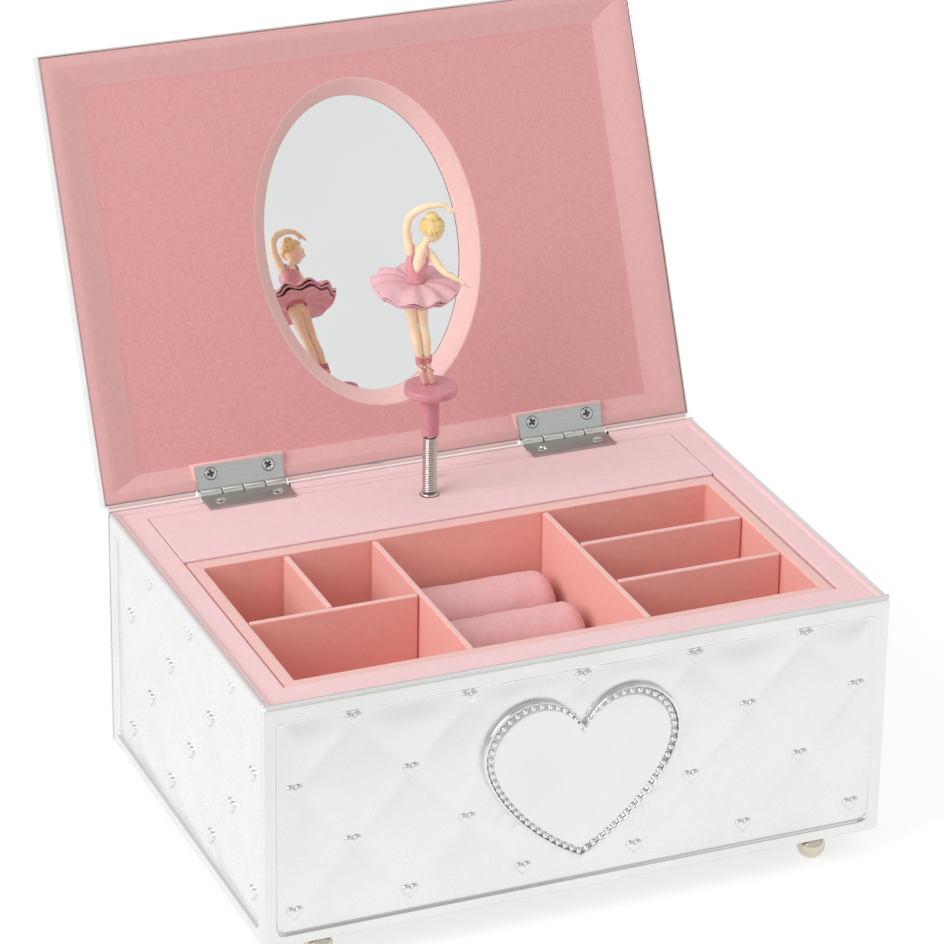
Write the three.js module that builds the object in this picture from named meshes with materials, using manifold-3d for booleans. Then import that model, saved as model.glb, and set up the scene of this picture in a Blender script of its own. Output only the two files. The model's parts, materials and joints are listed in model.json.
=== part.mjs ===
// Musical jewellery box with a folding, turning ballerina.
// Millimetres, +X right, +Y back, +Z up. The origin is the centre of the footprint, on the table.
// The lid is modelled shut, in a group about its hinge axis, and the group is turned to the open stop.

import * as THREE from 'three';
import { ConvexGeometry } from 'three/addons/geometries/ConvexGeometry.js';
import { mergeVertices } from 'three/addons/utils/BufferGeometryUtils.js';
import Module from 'manifold-3d';

const wasm = await Module();
wasm.setup();

// ---------- driving dimensions ----------

const WIDTH = 178;
const DEPTH = 125.5;
const SHELL_HEIGHT = 70.9;
const FOOT_HEIGHT = 8.3;
const WALL = 1.7;
const GAP = 0.3;

const FIELD_RECESS = 0.8;
const BORDER = { side: 3.3, top: 5, bottom: 3.5, radius: 2.5 };

const DECK_TOP = SHELL_HEIGHT - 1.1;
const DECK_THICK = 2.8;
const DECK_FRONT = 27;
const DECK_BACK = 55.8;
const DECK_HALF = 79;

const TRAY = { front: -50.8, back: 26.6, half: 78.7, top: DECK_TOP - 0.5, floor: 38.9, floorThick: 2 };
const WELL = { front: -47.5, back: 22.2, half: 75 };
const DIVIDER = 1.8;
const ROLL = { radius: 9.2, half: 24.2, pitch: 20.9, rear: 9.3 };

const HINGE = { y: 63.45, z: SHELL_HEIGHT - 0.4, x: 48.7, width: 25.5, knuckle: 1.2, bore: 0.75, pin: 0.45 };
const BASE_LEAF = [-0.65, -0.05];
const LID_LEAF = [0.25, 0.85];
const LID_OPEN_DEG = 114;
const LID = { rim: 5, height: 12, skin: 1.2, bevelTop: 2, mirrorDepth: 8, mirrorThick: 1.5 };
const LID_PANEL = { half: 77.2, near: 8.3, far: 116.6 };
const OVAL = { x: 29, y: 42, bevelX: 33.3, bevelY: 46.2, along: 63.3 };

const SPINDLE = { x: -0.8, y: 43, radius: 1.5 };
const SPRING = { radius: 2.05, low: 0.9, high: 17.9 };
const STEM = { radius: 2.5, low: 18.2, high: 30.8 };
const DISC = { radius: 7.4, top: 33.1 };
const FIGURE_TURN_DEG = -22.4;

const STOP_PIN = { x: 3.9, y: 52.2, radius: 0.8, low: 30, high: DECK_TOP + 4.7 };

const DRIVE = { x: SPINDLE.x + 20.7, y: 39.5, low: 20, high: 22, teeth: 48, module: 0.7 };
const CROWN = { teeth: 36, radius: 12, length: 3, height: 1.2 };
const PINION = { teeth: 12, module: 2 / 3 };
const CYLINDER = { x0: 40.4, x1: 57.4, radius: 6, z: DRIVE.high + 0.65 + 4 };
const TRAIN = { big: 32, small: 8, module: 0.5, distance: 10 };

const LEFT_RIGHT = [['left', -1], ['right', 1]];

// ---------- finishes ----------

const finish = (color, roughness, metalness) =>
  new THREE.MeshStandardMaterial({ color, roughness, metalness });

const silver = finish(0xe8e8e8, 0.22, 1);
const steel = finish(0xaaafac, 0.3, 1);
const brass = finish(0xc9a557, 0.35, 1);
const zinc = finish(0x9b9ea0, 0.5, 0.9);
const deckFlock = finish(0xe8c3c3, 0.95, 0);
const trayFlock = finish(0xd98a80, 0.95, 0);
const lidFlock = finish(0xd89e99, 0.95, 0);
const board = finish(0x8a6a4c, 0.85, 0);
const felt = finish(0x8c8a88, 1, 0);
const glass = finish(0xdfe4e6, 0.05, 1);
const pinkPlastic = finish(0xcd7d96, 0.4, 0);
const skin = finish(0xebcda5, 0.55, 0);
const skirtPink = finish(0xd78ca5, 0.5, 0);

// ---------- solids ----------

function solid(geometry) {
  const plain = geometry.clone();
  plain.deleteAttribute('normal');
  plain.deleteAttribute('uv');
  const merged = mergeVertices(plain, 1e-4);
  return new wasm.Manifold(new wasm.Mesh({
    numProp: 3,
    vertProperties: merged.attributes.position.array,
    triVerts: new Uint32Array(merged.index.array),
  }));
}

function geometryOf(manifold) {
  const mesh = manifold.getMesh();
  const geometry = new THREE.BufferGeometry();
  geometry.setAttribute('position', new THREE.BufferAttribute(new Float32Array(mesh.vertProperties), 3));
  geometry.setIndex(new THREE.BufferAttribute(new Uint32Array(mesh.triVerts), 1));
  return geometry;
}

const join = (first, ...others) => others.reduce((sum, one) => sum.add(one), first);
const cut = (first, ...tools) => tools.reduce((rest, tool) => rest.subtract(tool), first);

function box([x0, x1], [y0, y1], [z0, z1]) {
  const geometry = new THREE.BoxGeometry(x1 - x0, y1 - y0, z1 - z0);
  return solid(geometry.translate((x0 + x1) / 2, (y0 + y1) / 2, (z0 + z1) / 2));
}

// A cylinder along +Z from z0 to z1.
function rod(radius, [z0, z1], x = 0, y = 0, sides = 16) {
  const geometry = new THREE.CylinderGeometry(radius, radius, z1 - z0, sides);
  return solid(geometry.rotateX(Math.PI / 2).translate(x, y, (z0 + z1) / 2));
}

// A cylinder along +X from x0 to x1, about the line y, z.
function rodX(radius, [x0, x1], y, z, sides = 16) {
  const geometry = new THREE.CylinderGeometry(radius, radius, x1 - x0, sides);
  return solid(geometry.rotateZ(Math.PI / 2).translate((x0 + x1) / 2, y, z));
}

// A body of revolution about Z. The profile is [radius, z] points, in either direction.
function lathe(profile, sides = 24) {
  const area = profile.reduce((sum, [r, z], i) => {
    const [r2, z2] = profile[(i + 1) % profile.length];
    return sum + r * z2 - r2 * z;
  }, 0);
  const ordered = area > 0 ? [...profile] : [...profile].reverse();
  const onAxis = ordered[0][0] === 0 && ordered[ordered.length - 1][0] === 0;
  if (!onAxis) ordered.push(ordered[0]);
  const points = ordered.map(([r, z]) => new THREE.Vector2(r, z));
  return solid(new THREE.LatheGeometry(points, sides).rotateX(Math.PI / 2));
}

// A shape drawn in X and Y, extruded along Z.
function slabZ(shape, [z0, z1], curveSegments = 5) {
  const geometry = new THREE.ExtrudeGeometry(shape, { depth: z1 - z0, bevelEnabled: false, curveSegments });
  return solid(geometry.translate(0, 0, z0));
}

// A shape drawn in Y and Z, extruded along X.
function slabX(shape, [x0, x1]) {
  const geometry = new THREE.ExtrudeGeometry(shape, { depth: x1 - x0, bevelEnabled: false });
  const turn = new THREE.Matrix4().makeBasis(
    new THREE.Vector3(0, 1, 0), new THREE.Vector3(0, 0, 1), new THREE.Vector3(1, 0, 0));
  return solid(geometry.applyMatrix4(turn).translate(x0, 0, 0));
}

const hull = (points) => solid(new ConvexGeometry(points));

function roundedRect([x0, x1], [y0, y1], radius) {
  const shape = new THREE.Shape();
  shape.moveTo(x0 + radius, y0);
  shape.lineTo(x1 - radius, y0);
  shape.absarc(x1 - radius, y0 + radius, radius, -Math.PI / 2, 0);
  shape.lineTo(x1, y1 - radius);
  shape.absarc(x1 - radius, y1 - radius, radius, 0, Math.PI / 2);
  shape.lineTo(x0 + radius, y1);
  shape.absarc(x0 + radius, y1 - radius, radius, Math.PI / 2, Math.PI);
  shape.lineTo(x0, y0 + radius);
  shape.absarc(x0 + radius, y0 + radius, radius, Math.PI, 1.5 * Math.PI);
  return shape;
}

const rectPoints = ([x0, x1], [y0, y1], z) =>
  [[x0, y0], [x1, y0], [x1, y1], [x0, y1]].map(([x, y]) => new THREE.Vector3(x, y, z));

function ellipsePoints(a, b, y, z, count = 36) {
  return Array.from({ length: count }, (_, i) => {
    const angle = (2 * Math.PI * i) / count;
    return new THREE.Vector3(a * Math.cos(angle), y + b * Math.sin(angle), z);
  });
}

function add(group, name, manifold, material) {
  const mesh = new THREE.Mesh(geometryOf(manifold), material);
  mesh.name = name;
  group.add(mesh);
  return mesh;
}

// ---------- outer case ----------

// A panel stands in X and Y, with its outer face towards +Z and a raised border round a sunk field.
function borderedPanel(width) {
  const half = width / 2;
  const back = box([-half, half], [0, SHELL_HEIGHT], [0, WALL - FIELD_RECESS]);
  const outline = new THREE.Shape(rectPoints([-half, half], [0, SHELL_HEIGHT], 0));
  const field = roundedRect(
    [-half + BORDER.side, half - BORDER.side],
    [BORDER.bottom, SHELL_HEIGHT - BORDER.top], BORDER.radius);
  outline.holes.push(field);
  return join(back, slabZ(outline, [WALL - FIELD_RECESS - 0.3, WALL], 6));
}

function addCase(shell) {
  const sideWidth = DEPTH - 2 * WALL - 2 * GAP;
  const hingeNotches = LEFT_RIGHT.map(([, side]) => {
    const half = HINGE.width / 2 + 0.4;
    const x = side * HINGE.x;
    return box([x - half, x + half], [HINGE.z - HINGE.knuckle - 0.4, SHELL_HEIGHT + 1], [-1, WALL + 1]);
  });
  const panels = [
    ['front_panel', borderedPanel(WIDTH), 0, DEPTH / 2],
    ['back_panel', cut(borderedPanel(WIDTH), ...hingeNotches), Math.PI, DEPTH / 2],
    ['left_panel', borderedPanel(sideWidth), -Math.PI / 2, WIDTH / 2],
    ['right_panel', borderedPanel(sideWidth), Math.PI / 2, WIDTH / 2],
  ];
  for (const [name, panel, turn, reach] of panels) {
    const side = new THREE.Group();
    side.rotation.z = turn;
    shell.add(side);
    const mesh = add(side, name, panel, silver);
    mesh.rotation.x = Math.PI / 2;
    mesh.position.y = -(reach - WALL);
  }
}

// The heart's outline, in X and Z, grown by a distance that scales it about its own middle.
function heartShape(inset) {
  const middle = 36;
  const k = 1 - inset / 26;
  const at = (x, z) => [x * k, middle + (z - middle) * k];
  const shape = new THREE.Shape();
  shape.moveTo(...at(0, 49));
  shape.bezierCurveTo(...at(3.5, 55.5), ...at(8, 58.9), ...at(14.2, 58.9));
  shape.bezierCurveTo(...at(21.5, 58.9), ...at(28.7, 52.5), ...at(28.7, 43.8));
  shape.bezierCurveTo(...at(28.7, 33.5), ...at(15.5, 17.5), ...at(0, 9.4));
  shape.bezierCurveTo(...at(-15.5, 17.5), ...at(-28.7, 33.5), ...at(-28.7, 43.8));
  shape.bezierCurveTo(...at(-28.7, 52.5), ...at(-21.5, 58.9), ...at(-14.2, 58.9));
  shape.bezierCurveTo(...at(-8, 58.9), ...at(-3.5, 55.5), ...at(0, 49));
  return shape;
}

function addHeart(shell) {
  const field = DEPTH / 2 - FIELD_RECESS;
  const rim = cut(slabZ(heartShape(0), [GAP, 1.9], 8), slabZ(heartShape(2), [0, 3], 8));
  const plates = [
    ['heart_rim', rim],
    ['heart_plate', slabZ(heartShape(2.4), [GAP, 1.2], 8)],
  ];
  for (const [name, plate] of plates) {
    const mesh = add(shell, name, plate, silver);
    mesh.rotation.x = Math.PI / 2;
    mesh.position.y = -field;
  }
}

// ---------- base and feet ----------

const FOOT_PLACES = [
  ['front_left', -72, -56.5], ['front_right', 72, -56.5], ['rear_left', -72, 56.5], ['rear_right', 72, 56.5],
];

function footSolid() {
  const ball = 3.9;
  const centre = -FOOT_HEIGHT + 3.78;
  const flat = 1.2;
  const neck = 1.9;
  const from = Math.asin(flat / ball);
  const to = Math.PI - Math.asin(neck / ball);
  const arc = Array.from({ length: 9 }, (_, i) => {
    const angle = from + ((to - from) * i) / 8;
    return [ball * Math.sin(angle), centre - ball * Math.cos(angle)];
  });
  arc[0] = [flat, -FOOT_HEIGHT];
  return lathe([
    [0, -FOOT_HEIGHT], ...arc, [neck, 1.9], [2.6, 1.9], [2.6, 2.7], [1, 2.7], [1, 4.7], [0, 4.7],
  ], 16);
}

function addBase(shell) {
  const x = WIDTH / 2 - WALL - 0.4;
  const y = DEPTH / 2 - WALL - 0.4;
  const studHoles = FOOT_PLACES.map(([, fx, fy]) => rod(1.3, [2, 6], fx, fy));
  const arborHole = rod(2, [2, 6], DRIVE.x, DRIVE.y);
  add(shell, 'bottom_plate', cut(box([-x, x], [-y, y], [3, 5]), arborHole, ...studHoles), board);

  const feltHoles = FOOT_PLACES.map(([, fx, fy]) => rod(2.9, [1, 4], fx, fy));
  const feltSheet = slabZ(roundedRect([-84, 84], [-59, 59], 2), [2.1, 2.7]);
  add(shell, 'bottom_felt', cut(feltSheet, rod(4.5, [1, 4], DRIVE.x, DRIVE.y), ...feltHoles), felt);

  for (const [name, fx, fy] of FOOT_PLACES) {
    add(shell, `foot_${name}`, footSolid(), silver).position.set(fx, fy, 0);
  }
}

// ---------- lining, tray and dividers ----------

function addLining(shell) {
  const x = WIDTH / 2 - WALL - GAP;
  const y = DEPTH / 2 - WALL - GAP;
  const carcassWall = 2.2;
  const hollow = box([-x + carcassWall, x - carcassWall], [-y + carcassWall, y - carcassWall], [0, 80]);
  const top = DECK_TOP - DECK_THICK;
  add(shell, 'carcass', cut(box([-x, x], [-y, y], [5 + GAP, top - GAP]), hollow), board);

  const frame = box([-x, x], [-y, y], [top, DECK_TOP]);
  const opening = box([-DECK_HALF - GAP, DECK_HALF + GAP], [-51.1, DECK_BACK + GAP], [0, 80]);
  const screwHoles = hingeScrewPlaces().map((sx) => rod(1, [60, 80], sx, HINGE.y - SCREW_BASE_Y));
  add(shell, 'liner_frame', cut(frame, opening, ...screwHoles), deckFlock);

  const deck = box([-DECK_HALF, DECK_HALF], [DECK_FRONT, DECK_BACK], [top, DECK_TOP]);
  const spindleHole = rod(2.65, [60, 80], SPINDLE.x, SPINDLE.y);
  const pinHole = rod(STOP_PIN.radius + GAP, [60, 80], STOP_PIN.x, STOP_PIN.y);
  add(shell, 'deck_panel', cut(deck, spindleHole, pinHole), deckFlock);
}

function addTray(shell) {
  const outside = box([-TRAY.half, TRAY.half], [TRAY.front, TRAY.back], [TRAY.floor - TRAY.floorThick, TRAY.top]);
  const well = box([-WELL.half, WELL.half], [WELL.front, WELL.back], [TRAY.floor, 80]);
  add(shell, 'tray', cut(outside, well), trayFlock);

  const level = [TRAY.floor + GAP, TRAY.top - 0.2];
  const half = DIVIDER / 2;
  const front = WELL.front + GAP;
  const back = WELL.back - GAP;
  const edge = WELL.half - GAP;
  const wide = half + GAP;
  const dividers = {
    divider_left_long: [[-25.7 - half, -25.7 + half], [front, back]],
    divider_left_cross: [[-edge, -25.7 - wide], [-12.6 - half, -12.6 + half]],
    divider_left_short: [[-51.4 - half, -51.4 + half], [-12.6 + wide, back]],
    divider_right_long: [[25.2 - half, 25.2 + half], [front, back]],
    divider_right_cross_rear: [[25.2 + wide, edge], [-half, half]],
    divider_right_cross_front: [[25.2 + wide, edge], [-24.4 - half, -24.4 + half]],
  };
  for (const [name, [x, y]] of Object.entries(dividers)) {
    add(shell, name, box(x, y, level), trayFlock);
  }
}

function addRingRolls(shell) {
  const rounding = 2.5;
  const arc = [0, 0.5, 1].map((t) => {
    const angle = (t * Math.PI) / 2;
    return [ROLL.radius - rounding * (1 - Math.cos(angle)), ROLL.half - rounding * (1 - Math.sin(angle))];
  });
  const profile = [[0, -ROLL.half], ...arc.map(([r, z]) => [r, -z]).reverse(), ...arc, [0, ROLL.half]];
  const middle = (-25.7 + 25.2) / 2;
  ['rear', 'middle', 'front'].forEach((name, i) => {
    const roll = add(shell, `ring_roll_${name}`, lathe(profile, 28), deckFlock);
    roll.rotation.y = Math.PI / 2;
    roll.position.set(middle, ROLL.rear - i * ROLL.pitch, TRAY.floor + GAP + ROLL.radius);
  });
}

// ---------- hinges ----------

const SCREW_X = 8.5;
const SCREW_BASE_Y = 5.05;
const SCREW_LID_Y = 5.5;
const BASE_LEAF_REACH = 8.95;
const LID_LEAF_REACH = 7.8;
const KNUCKLE_COUNT = 4;

function hingeScrewPlaces() {
  return LEFT_RIGHT.flatMap(([, side]) => [-SCREW_X, SCREW_X].map((dx) => side * HINGE.x + dx));
}

// A countersunk screw along Z, its flat head at z = 0 and its shank below.
const screwSolid = () => lathe([[0, 0], [1.55, 0], [1.55, -0.15], [0.7, -0.75], [0.7, -3], [0, -3.4]], 12);
const screwSeat = () => lathe([[0, 0.3], [1.9, 0.3], [1.9, -0.1], [1.05, -0.9], [1.05, -3.6], [0, -3.6]], 12);

// A leaf lies in X and Y about the hinge axis, reaching to -Y. Even knuckles are the base leaf's.
function leafSolid(reach, [z0, z1], parity, screwY, up) {
  const half = HINGE.width / 2;
  const pitch = HINGE.width / KNUCKLE_COUNT;
  const spans = Array.from({ length: KNUCKLE_COUNT }, (_, i) => [-half + i * pitch, -half + (i + 1) * pitch]);
  const mine = spans.filter((_, i) => i % 2 === parity);
  const others = spans.filter((_, i) => i % 2 !== parity);
  const plate = box([-half, half], [-reach, -0.9], [z0, z1]);
  const clearances = others.map(([a, b]) => rodX(HINGE.knuckle + GAP, [a - 0.2, b + 0.2], 0, 0, 12));
  const knuckles = mine.map(([a, b]) => rodX(HINGE.knuckle, [a + 0.2, b - 0.2], 0, 0));
  const bore = rodX(HINGE.bore, [-half - 1, half + 1], 0, 0);
  const seats = [-SCREW_X, SCREW_X].map((x) =>
    (up ? screwSeat() : screwSeat().rotate([180, 0, 0])).translate([x, -screwY, up ? z1 : z0]));
  return cut(join(cut(plate, ...clearances), ...knuckles), bore, ...seats);
}

function addHinges(axis, lid) {
  const base = leafSolid(BASE_LEAF_REACH, BASE_LEAF, 0, SCREW_BASE_Y, true);
  const cover = leafSolid(LID_LEAF_REACH, LID_LEAF, 1, SCREW_LID_Y, false);
  const pin = rodX(HINGE.pin, [-HINGE.width / 2, HINGE.width / 2], 0, 0);
  for (const [name, side] of LEFT_RIGHT) {
    const x = side * HINGE.x;
    add(axis, `hinge_base_leaf_${name}`, base, steel).position.x = x;
    add(axis, `hinge_pin_${name}`, pin, steel).position.x = x;
    add(lid, `hinge_lid_leaf_${name}`, cover, steel).position.x = x;
  }
  hingeScrewPlaces().forEach((x, i) => {
    add(axis, `base_screw_${i + 1}`, screwSolid(), steel).position.set(x, -SCREW_BASE_Y, BASE_LEAF[1] - 0.05);
    const screw = add(lid, `lid_screw_${i + 1}`, screwSolid(), steel);
    screw.rotation.x = Math.PI;
    screw.position.set(x, -SCREW_LID_Y, LID_LEAF[0] + 0.05);
  });
}

// ---------- lid ----------

const LID_BACK = DEPTH / 2 - HINGE.y;
const LID_FRONT = LID_BACK - DEPTH;
const RIM_Z = SHELL_HEIGHT + GAP - HINGE.z;

const lidRect = (inset, z) => rectPoints(
  [-WIDTH / 2 + inset, WIDTH / 2 - inset], [LID_FRONT + inset, LID_BACK - inset], z);

function addLidShell(lid) {
  const top = RIM_Z + LID.height;
  const outside = hull([
    ...lidRect(0, RIM_Z), ...lidRect(0, RIM_Z + LID.rim), ...lidRect(14, top - 0.8), ...lidRect(26, top),
  ]);
  const inside = hull([
    ...lidRect(WALL, -2), ...lidRect(WALL, RIM_Z + LID.rim - 0.8),
    ...lidRect(14.5, top - 0.8 - LID.skin), ...lidRect(26, top - LID.skin),
  ]);
  const notches = LEFT_RIGHT.map(([, side]) => {
    const half = HINGE.width / 2 + 0.4;
    const x = side * HINGE.x;
    return box([x - half, x + half], [LID_BACK - WALL - 1, LID_BACK + 1], [-1, HINGE.knuckle + GAP]);
  });
  add(lid, 'lid_shell', cut(outside, inside, ...notches), silver);
}

function addLidLiner(lid) {
  const reach = WALL + GAP;
  const x = WIDTH / 2 - reach;
  const y0 = LID_FRONT + reach;
  const y1 = LID_BACK - reach;
  const low = RIM_Z + 0.2;
  const panelZ = RIM_Z + LID.bevelTop;
  const mirrorZ = RIM_Z + LID.mirrorDepth;
  const flat = 1.2;
  const slab = box([-x, x], [y0, y1], [low, RIM_Z + 3.9]);
  const boss = hull([
    ...ellipsePoints(OVAL.bevelX + 2.7, OVAL.bevelY + 2.8, -OVAL.along, RIM_Z + 3),
    ...ellipsePoints(OVAL.bevelX + 2.7, OVAL.bevelY + 2.8, -OVAL.along, mirrorZ - GAP),
  ]);
  const bevel = hull([
    ...rectPoints([-x + flat, x - flat], [y0 + flat, y1 - flat], low - 1),
    ...rectPoints([-x + flat, x - flat], [y0 + flat, y1 - flat], low),
    ...rectPoints([-LID_PANEL.half, LID_PANEL.half], [-LID_PANEL.far, -LID_PANEL.near], panelZ),
  ]);
  const ovalFunnel = hull([
    ...ellipsePoints(OVAL.bevelX, OVAL.bevelY, -OVAL.along, panelZ - 0.01),
    ...ellipsePoints(OVAL.x, OVAL.y, -OVAL.along, mirrorZ + 0.5),
  ]);
  const hingeSeats = LEFT_RIGHT.map(([, side]) => {
    const half = HINGE.width / 2 + 0.4;
    const hx = side * HINGE.x;
    return box([hx - half, hx + half], [-LID_LEAF_REACH - 0.4, 0], [-1, LID_LEAF[1] + 0.4]);
  });
  const screwHoles = hingeScrewPlaces().map((sx) => rod(1, [-1, 5], sx, -SCREW_LID_Y));
  add(lid, 'lid_liner', cut(join(slab, boss), bevel, ovalFunnel, ...hingeSeats, ...screwHoles), lidFlock);

  add(lid, 'mirror', hull([
    ...ellipsePoints(OVAL.x + 2.7, OVAL.y + 2.7, -OVAL.along, mirrorZ),
    ...ellipsePoints(OVAL.x + 2.7, OVAL.y + 2.7, -OVAL.along, mirrorZ + LID.mirrorThick),
  ]), glass);
}

// ---------- ballerina ----------

function spherePoints([x, y, z], radius) {
  const points = [];
  for (const tilt of [-90, -54, -18, 18, 54, 90]) {
    const ring = radius * Math.cos((tilt * Math.PI) / 180);
    const count = Math.abs(tilt) === 90 ? 1 : 10;
    for (let i = 0; i < count; i += 1) {
      const angle = (2 * Math.PI * i) / count;
      points.push(new THREE.Vector3(
        x + ring * Math.cos(angle), y + ring * Math.sin(angle), z + radius * Math.sin((tilt * Math.PI) / 180)));
    }
  }
  return points;
}

// A limb runs through [x, y, z, radius] stations.
function limb(stations) {
  const spans = stations.slice(1).map((next, i) => {
    const here = stations[i];
    return hull([...spherePoints(here, here[3]), ...spherePoints(next, next[3])]);
  });
  return join(...spans);
}

function addDancer(shell) {
  const spring = new THREE.Group();
  spring.position.set(SPINDLE.x, SPINDLE.y, DECK_TOP);
  shell.add(spring);
  add(spring, 'dancer_spring', lathe([
    [1.4, SPRING.low], [SPRING.radius, SPRING.low], [SPRING.radius, SPRING.high], [1.4, SPRING.high],
  ], 20), steel);
  add(spring, 'pedestal', lathe([
    [0, STEM.low], [STEM.radius, STEM.low], [STEM.radius, STEM.high], [DISC.radius, STEM.high],
    [DISC.radius, DISC.top - 0.3], [DISC.radius - 0.3, DISC.top], [0, DISC.top],
  ]), pinkPlastic);

  const figure = new THREE.Group();
  figure.rotation.z = (FIGURE_TURN_DEG * Math.PI) / 180;
  spring.add(figure);
  const feet = DISC.top + GAP;
  const leg = (side) => limb([
    [-0.8 + side * 0.9, 0, feet + 0.8, 0.8], [-2.1 + side * 0.9, 0, 42, 1.2],
    [-3.6 + side, 0, 50.4, 1.6], [-4.5 + side * 1.1, 0, 59, 2.2],
  ]);
  const torso = limb([[-4.5, 0, 60.2, 2.9], [-4.5, 0, 65.4, 2.3], [-3.6, 0, 71, 3.2], [-2.6, 0, 74.4, 1.5]]);
  const head = limb([[-2.6, 0, 74.4, 1.2], [-1.2, 0, 78.2, 2.6], [-0.4, 0, 79.9, 3.4]]);
  const raisedArm = limb([
    [-5.6, 0, 72.6, 1.2], [-7, 0, 79, 1], [-5.4, 0, 83.4, 0.9], [1.4, 0, 86.3, 0.8], [6.6, 0, 83.9, 0.6],
  ]);
  const lowArm = limb([[-0.4, 0, 72.4, 1.2], [3.4, -2.4, 68.2, 0.9], [9.6, -3.4, 64.4, 0.6]]);
  add(figure, 'dancer_body', join(torso, leg(-1), leg(1), head, raisedArm, lowArm), skin);

  const skirt = add(figure, 'dancer_skirt', lathe([
    [4, 66.8], [7.5, 66.6], [12, 64.2], [12.3, 61], [11.4, 57.4], [10, 56.4], [6.5, 58], [4, 59.5],
  ]), skirtPink);
  skirt.position.x = -4.5;
}

// ---------- musical movement ----------

// Straight-sided teeth with plenty of backlash. phase is the direction of one tooth.
function gearShape(teeth, module, phase) {
  const pitchRadius = (teeth * module) / 2;
  const outer = pitchRadius + 0.65 * module;
  const root = pitchRadius - 1.05 * module;
  const pitch = (2 * Math.PI) / teeth;
  const shape = new THREE.Shape();
  for (let i = 0; i < teeth; i += 1) {
    const centre = phase + i * pitch;
    for (const [radius, offset] of [[root, -0.24], [outer, -0.09], [outer, 0.09], [root, 0.24]]) {
      const angle = centre + offset * pitch;
      const point = [radius * Math.cos(angle), radius * Math.sin(angle)];
      if (i === 0 && offset === -0.24) shape.moveTo(...point);
      else shape.lineTo(...point);
    }
  }
  shape.closePath();
  return shape;
}

function gearX(teeth, phase, x, { y, z }, module) {
  return slabX(gearShape(teeth, module, phase), x).translate([0, y, z]);
}

function spiralShape(inner, outer, turns, thick) {
  const steps = turns * 12;
  const edge = (offset) => Array.from({ length: steps + 1 }, (_, i) => {
    const angle = (2 * Math.PI * turns * i) / steps;
    const radius = inner + ((outer - inner) * i) / steps + offset;
    return new THREE.Vector2(radius * Math.cos(angle), radius * Math.sin(angle));
  });
  return new THREE.Shape([...edge(0), ...edge(thick).reverse()]);
}

const CYLINDER_AXIS = { y: DRIVE.y, z: CYLINDER.z };
const WHEEL_AXIS = { y: DRIVE.y + TRAIN.distance, z: CYLINDER.z };
const GOVERNOR_AXIS = { y: WHEEL_AXIS.y - 0.6 * TRAIN.distance, z: WHEEL_AXIS.z + 0.8 * TRAIN.distance };

function addMovementFrame(shell) {
  const plate = box([-8, 76], [22, 57], [5.3, 7.3]);
  const combBlock = box([40.2, 57.6], [22, 27.5], [7, CYLINDER.z - 1]);
  const bearing = box([38.4, 39.6], [36, 43], [7, CYLINDER.z + 4]);
  const bedplate = cut(
    join(plate, combBlock, bearing),
    rod(1.6, [4, 8], DRIVE.x, DRIVE.y), rod(1.8, [4, 8], SPINDLE.x, SPINDLE.y),
    rodX(1.3, [38, 40], DRIVE.y, CYLINDER.z));
  add(shell, 'movement_bedplate', bedplate, zinc);

  const housing = lathe([[2, 7.6], [16.5, 7.6], [16.5, 18.6], [15.7, 18.6], [15.7, 8.4], [2, 8.4]]);
  add(shell, 'mainspring_housing', housing, zinc).position.set(DRIVE.x, DRIVE.y, 0);
  const coil = slabZ(spiralShape(3.6, 14.6, 6, 0.45), [8.9, 18]);
  add(shell, 'mainspring', coil, steel).position.set(DRIVE.x, DRIVE.y, 0);

  const toothPitch = 17 / 18;
  const comb = box([40.4, 57.4], [22.2, 32.3], [CYLINDER.z - 0.6, CYLINDER.z + 0.6]);
  const slots = Array.from({ length: 17 }, (_, i) => {
    const x = 40.4 + (i + 1) * toothPitch;
    return box([x - 0.15, x + 0.15], [25.5, 33], [CYLINDER.z - 2, CYLINDER.z + 2]);
  });
  add(shell, 'comb', cut(comb, ...slots), steel);

  const foot = box([61, 74.2], [36, 55], [7.6, 8.8]);
  const inner = box([61, 62.2], [36, 55], [7.6, 38]);
  const outer = box([73, 74.2], [36, 55], [7.6, 38]);
  const bores = [[CYLINDER_AXIS, 1.3], [WHEEL_AXIS, 1.1], [GOVERNOR_AXIS, 0.9]].map(
    ([axis, radius]) => rodX(radius, [60, 75], axis.y, axis.z));
  add(shell, 'governor_frame', cut(join(foot, inner, outer), ...bores), zinc);
}

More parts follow.
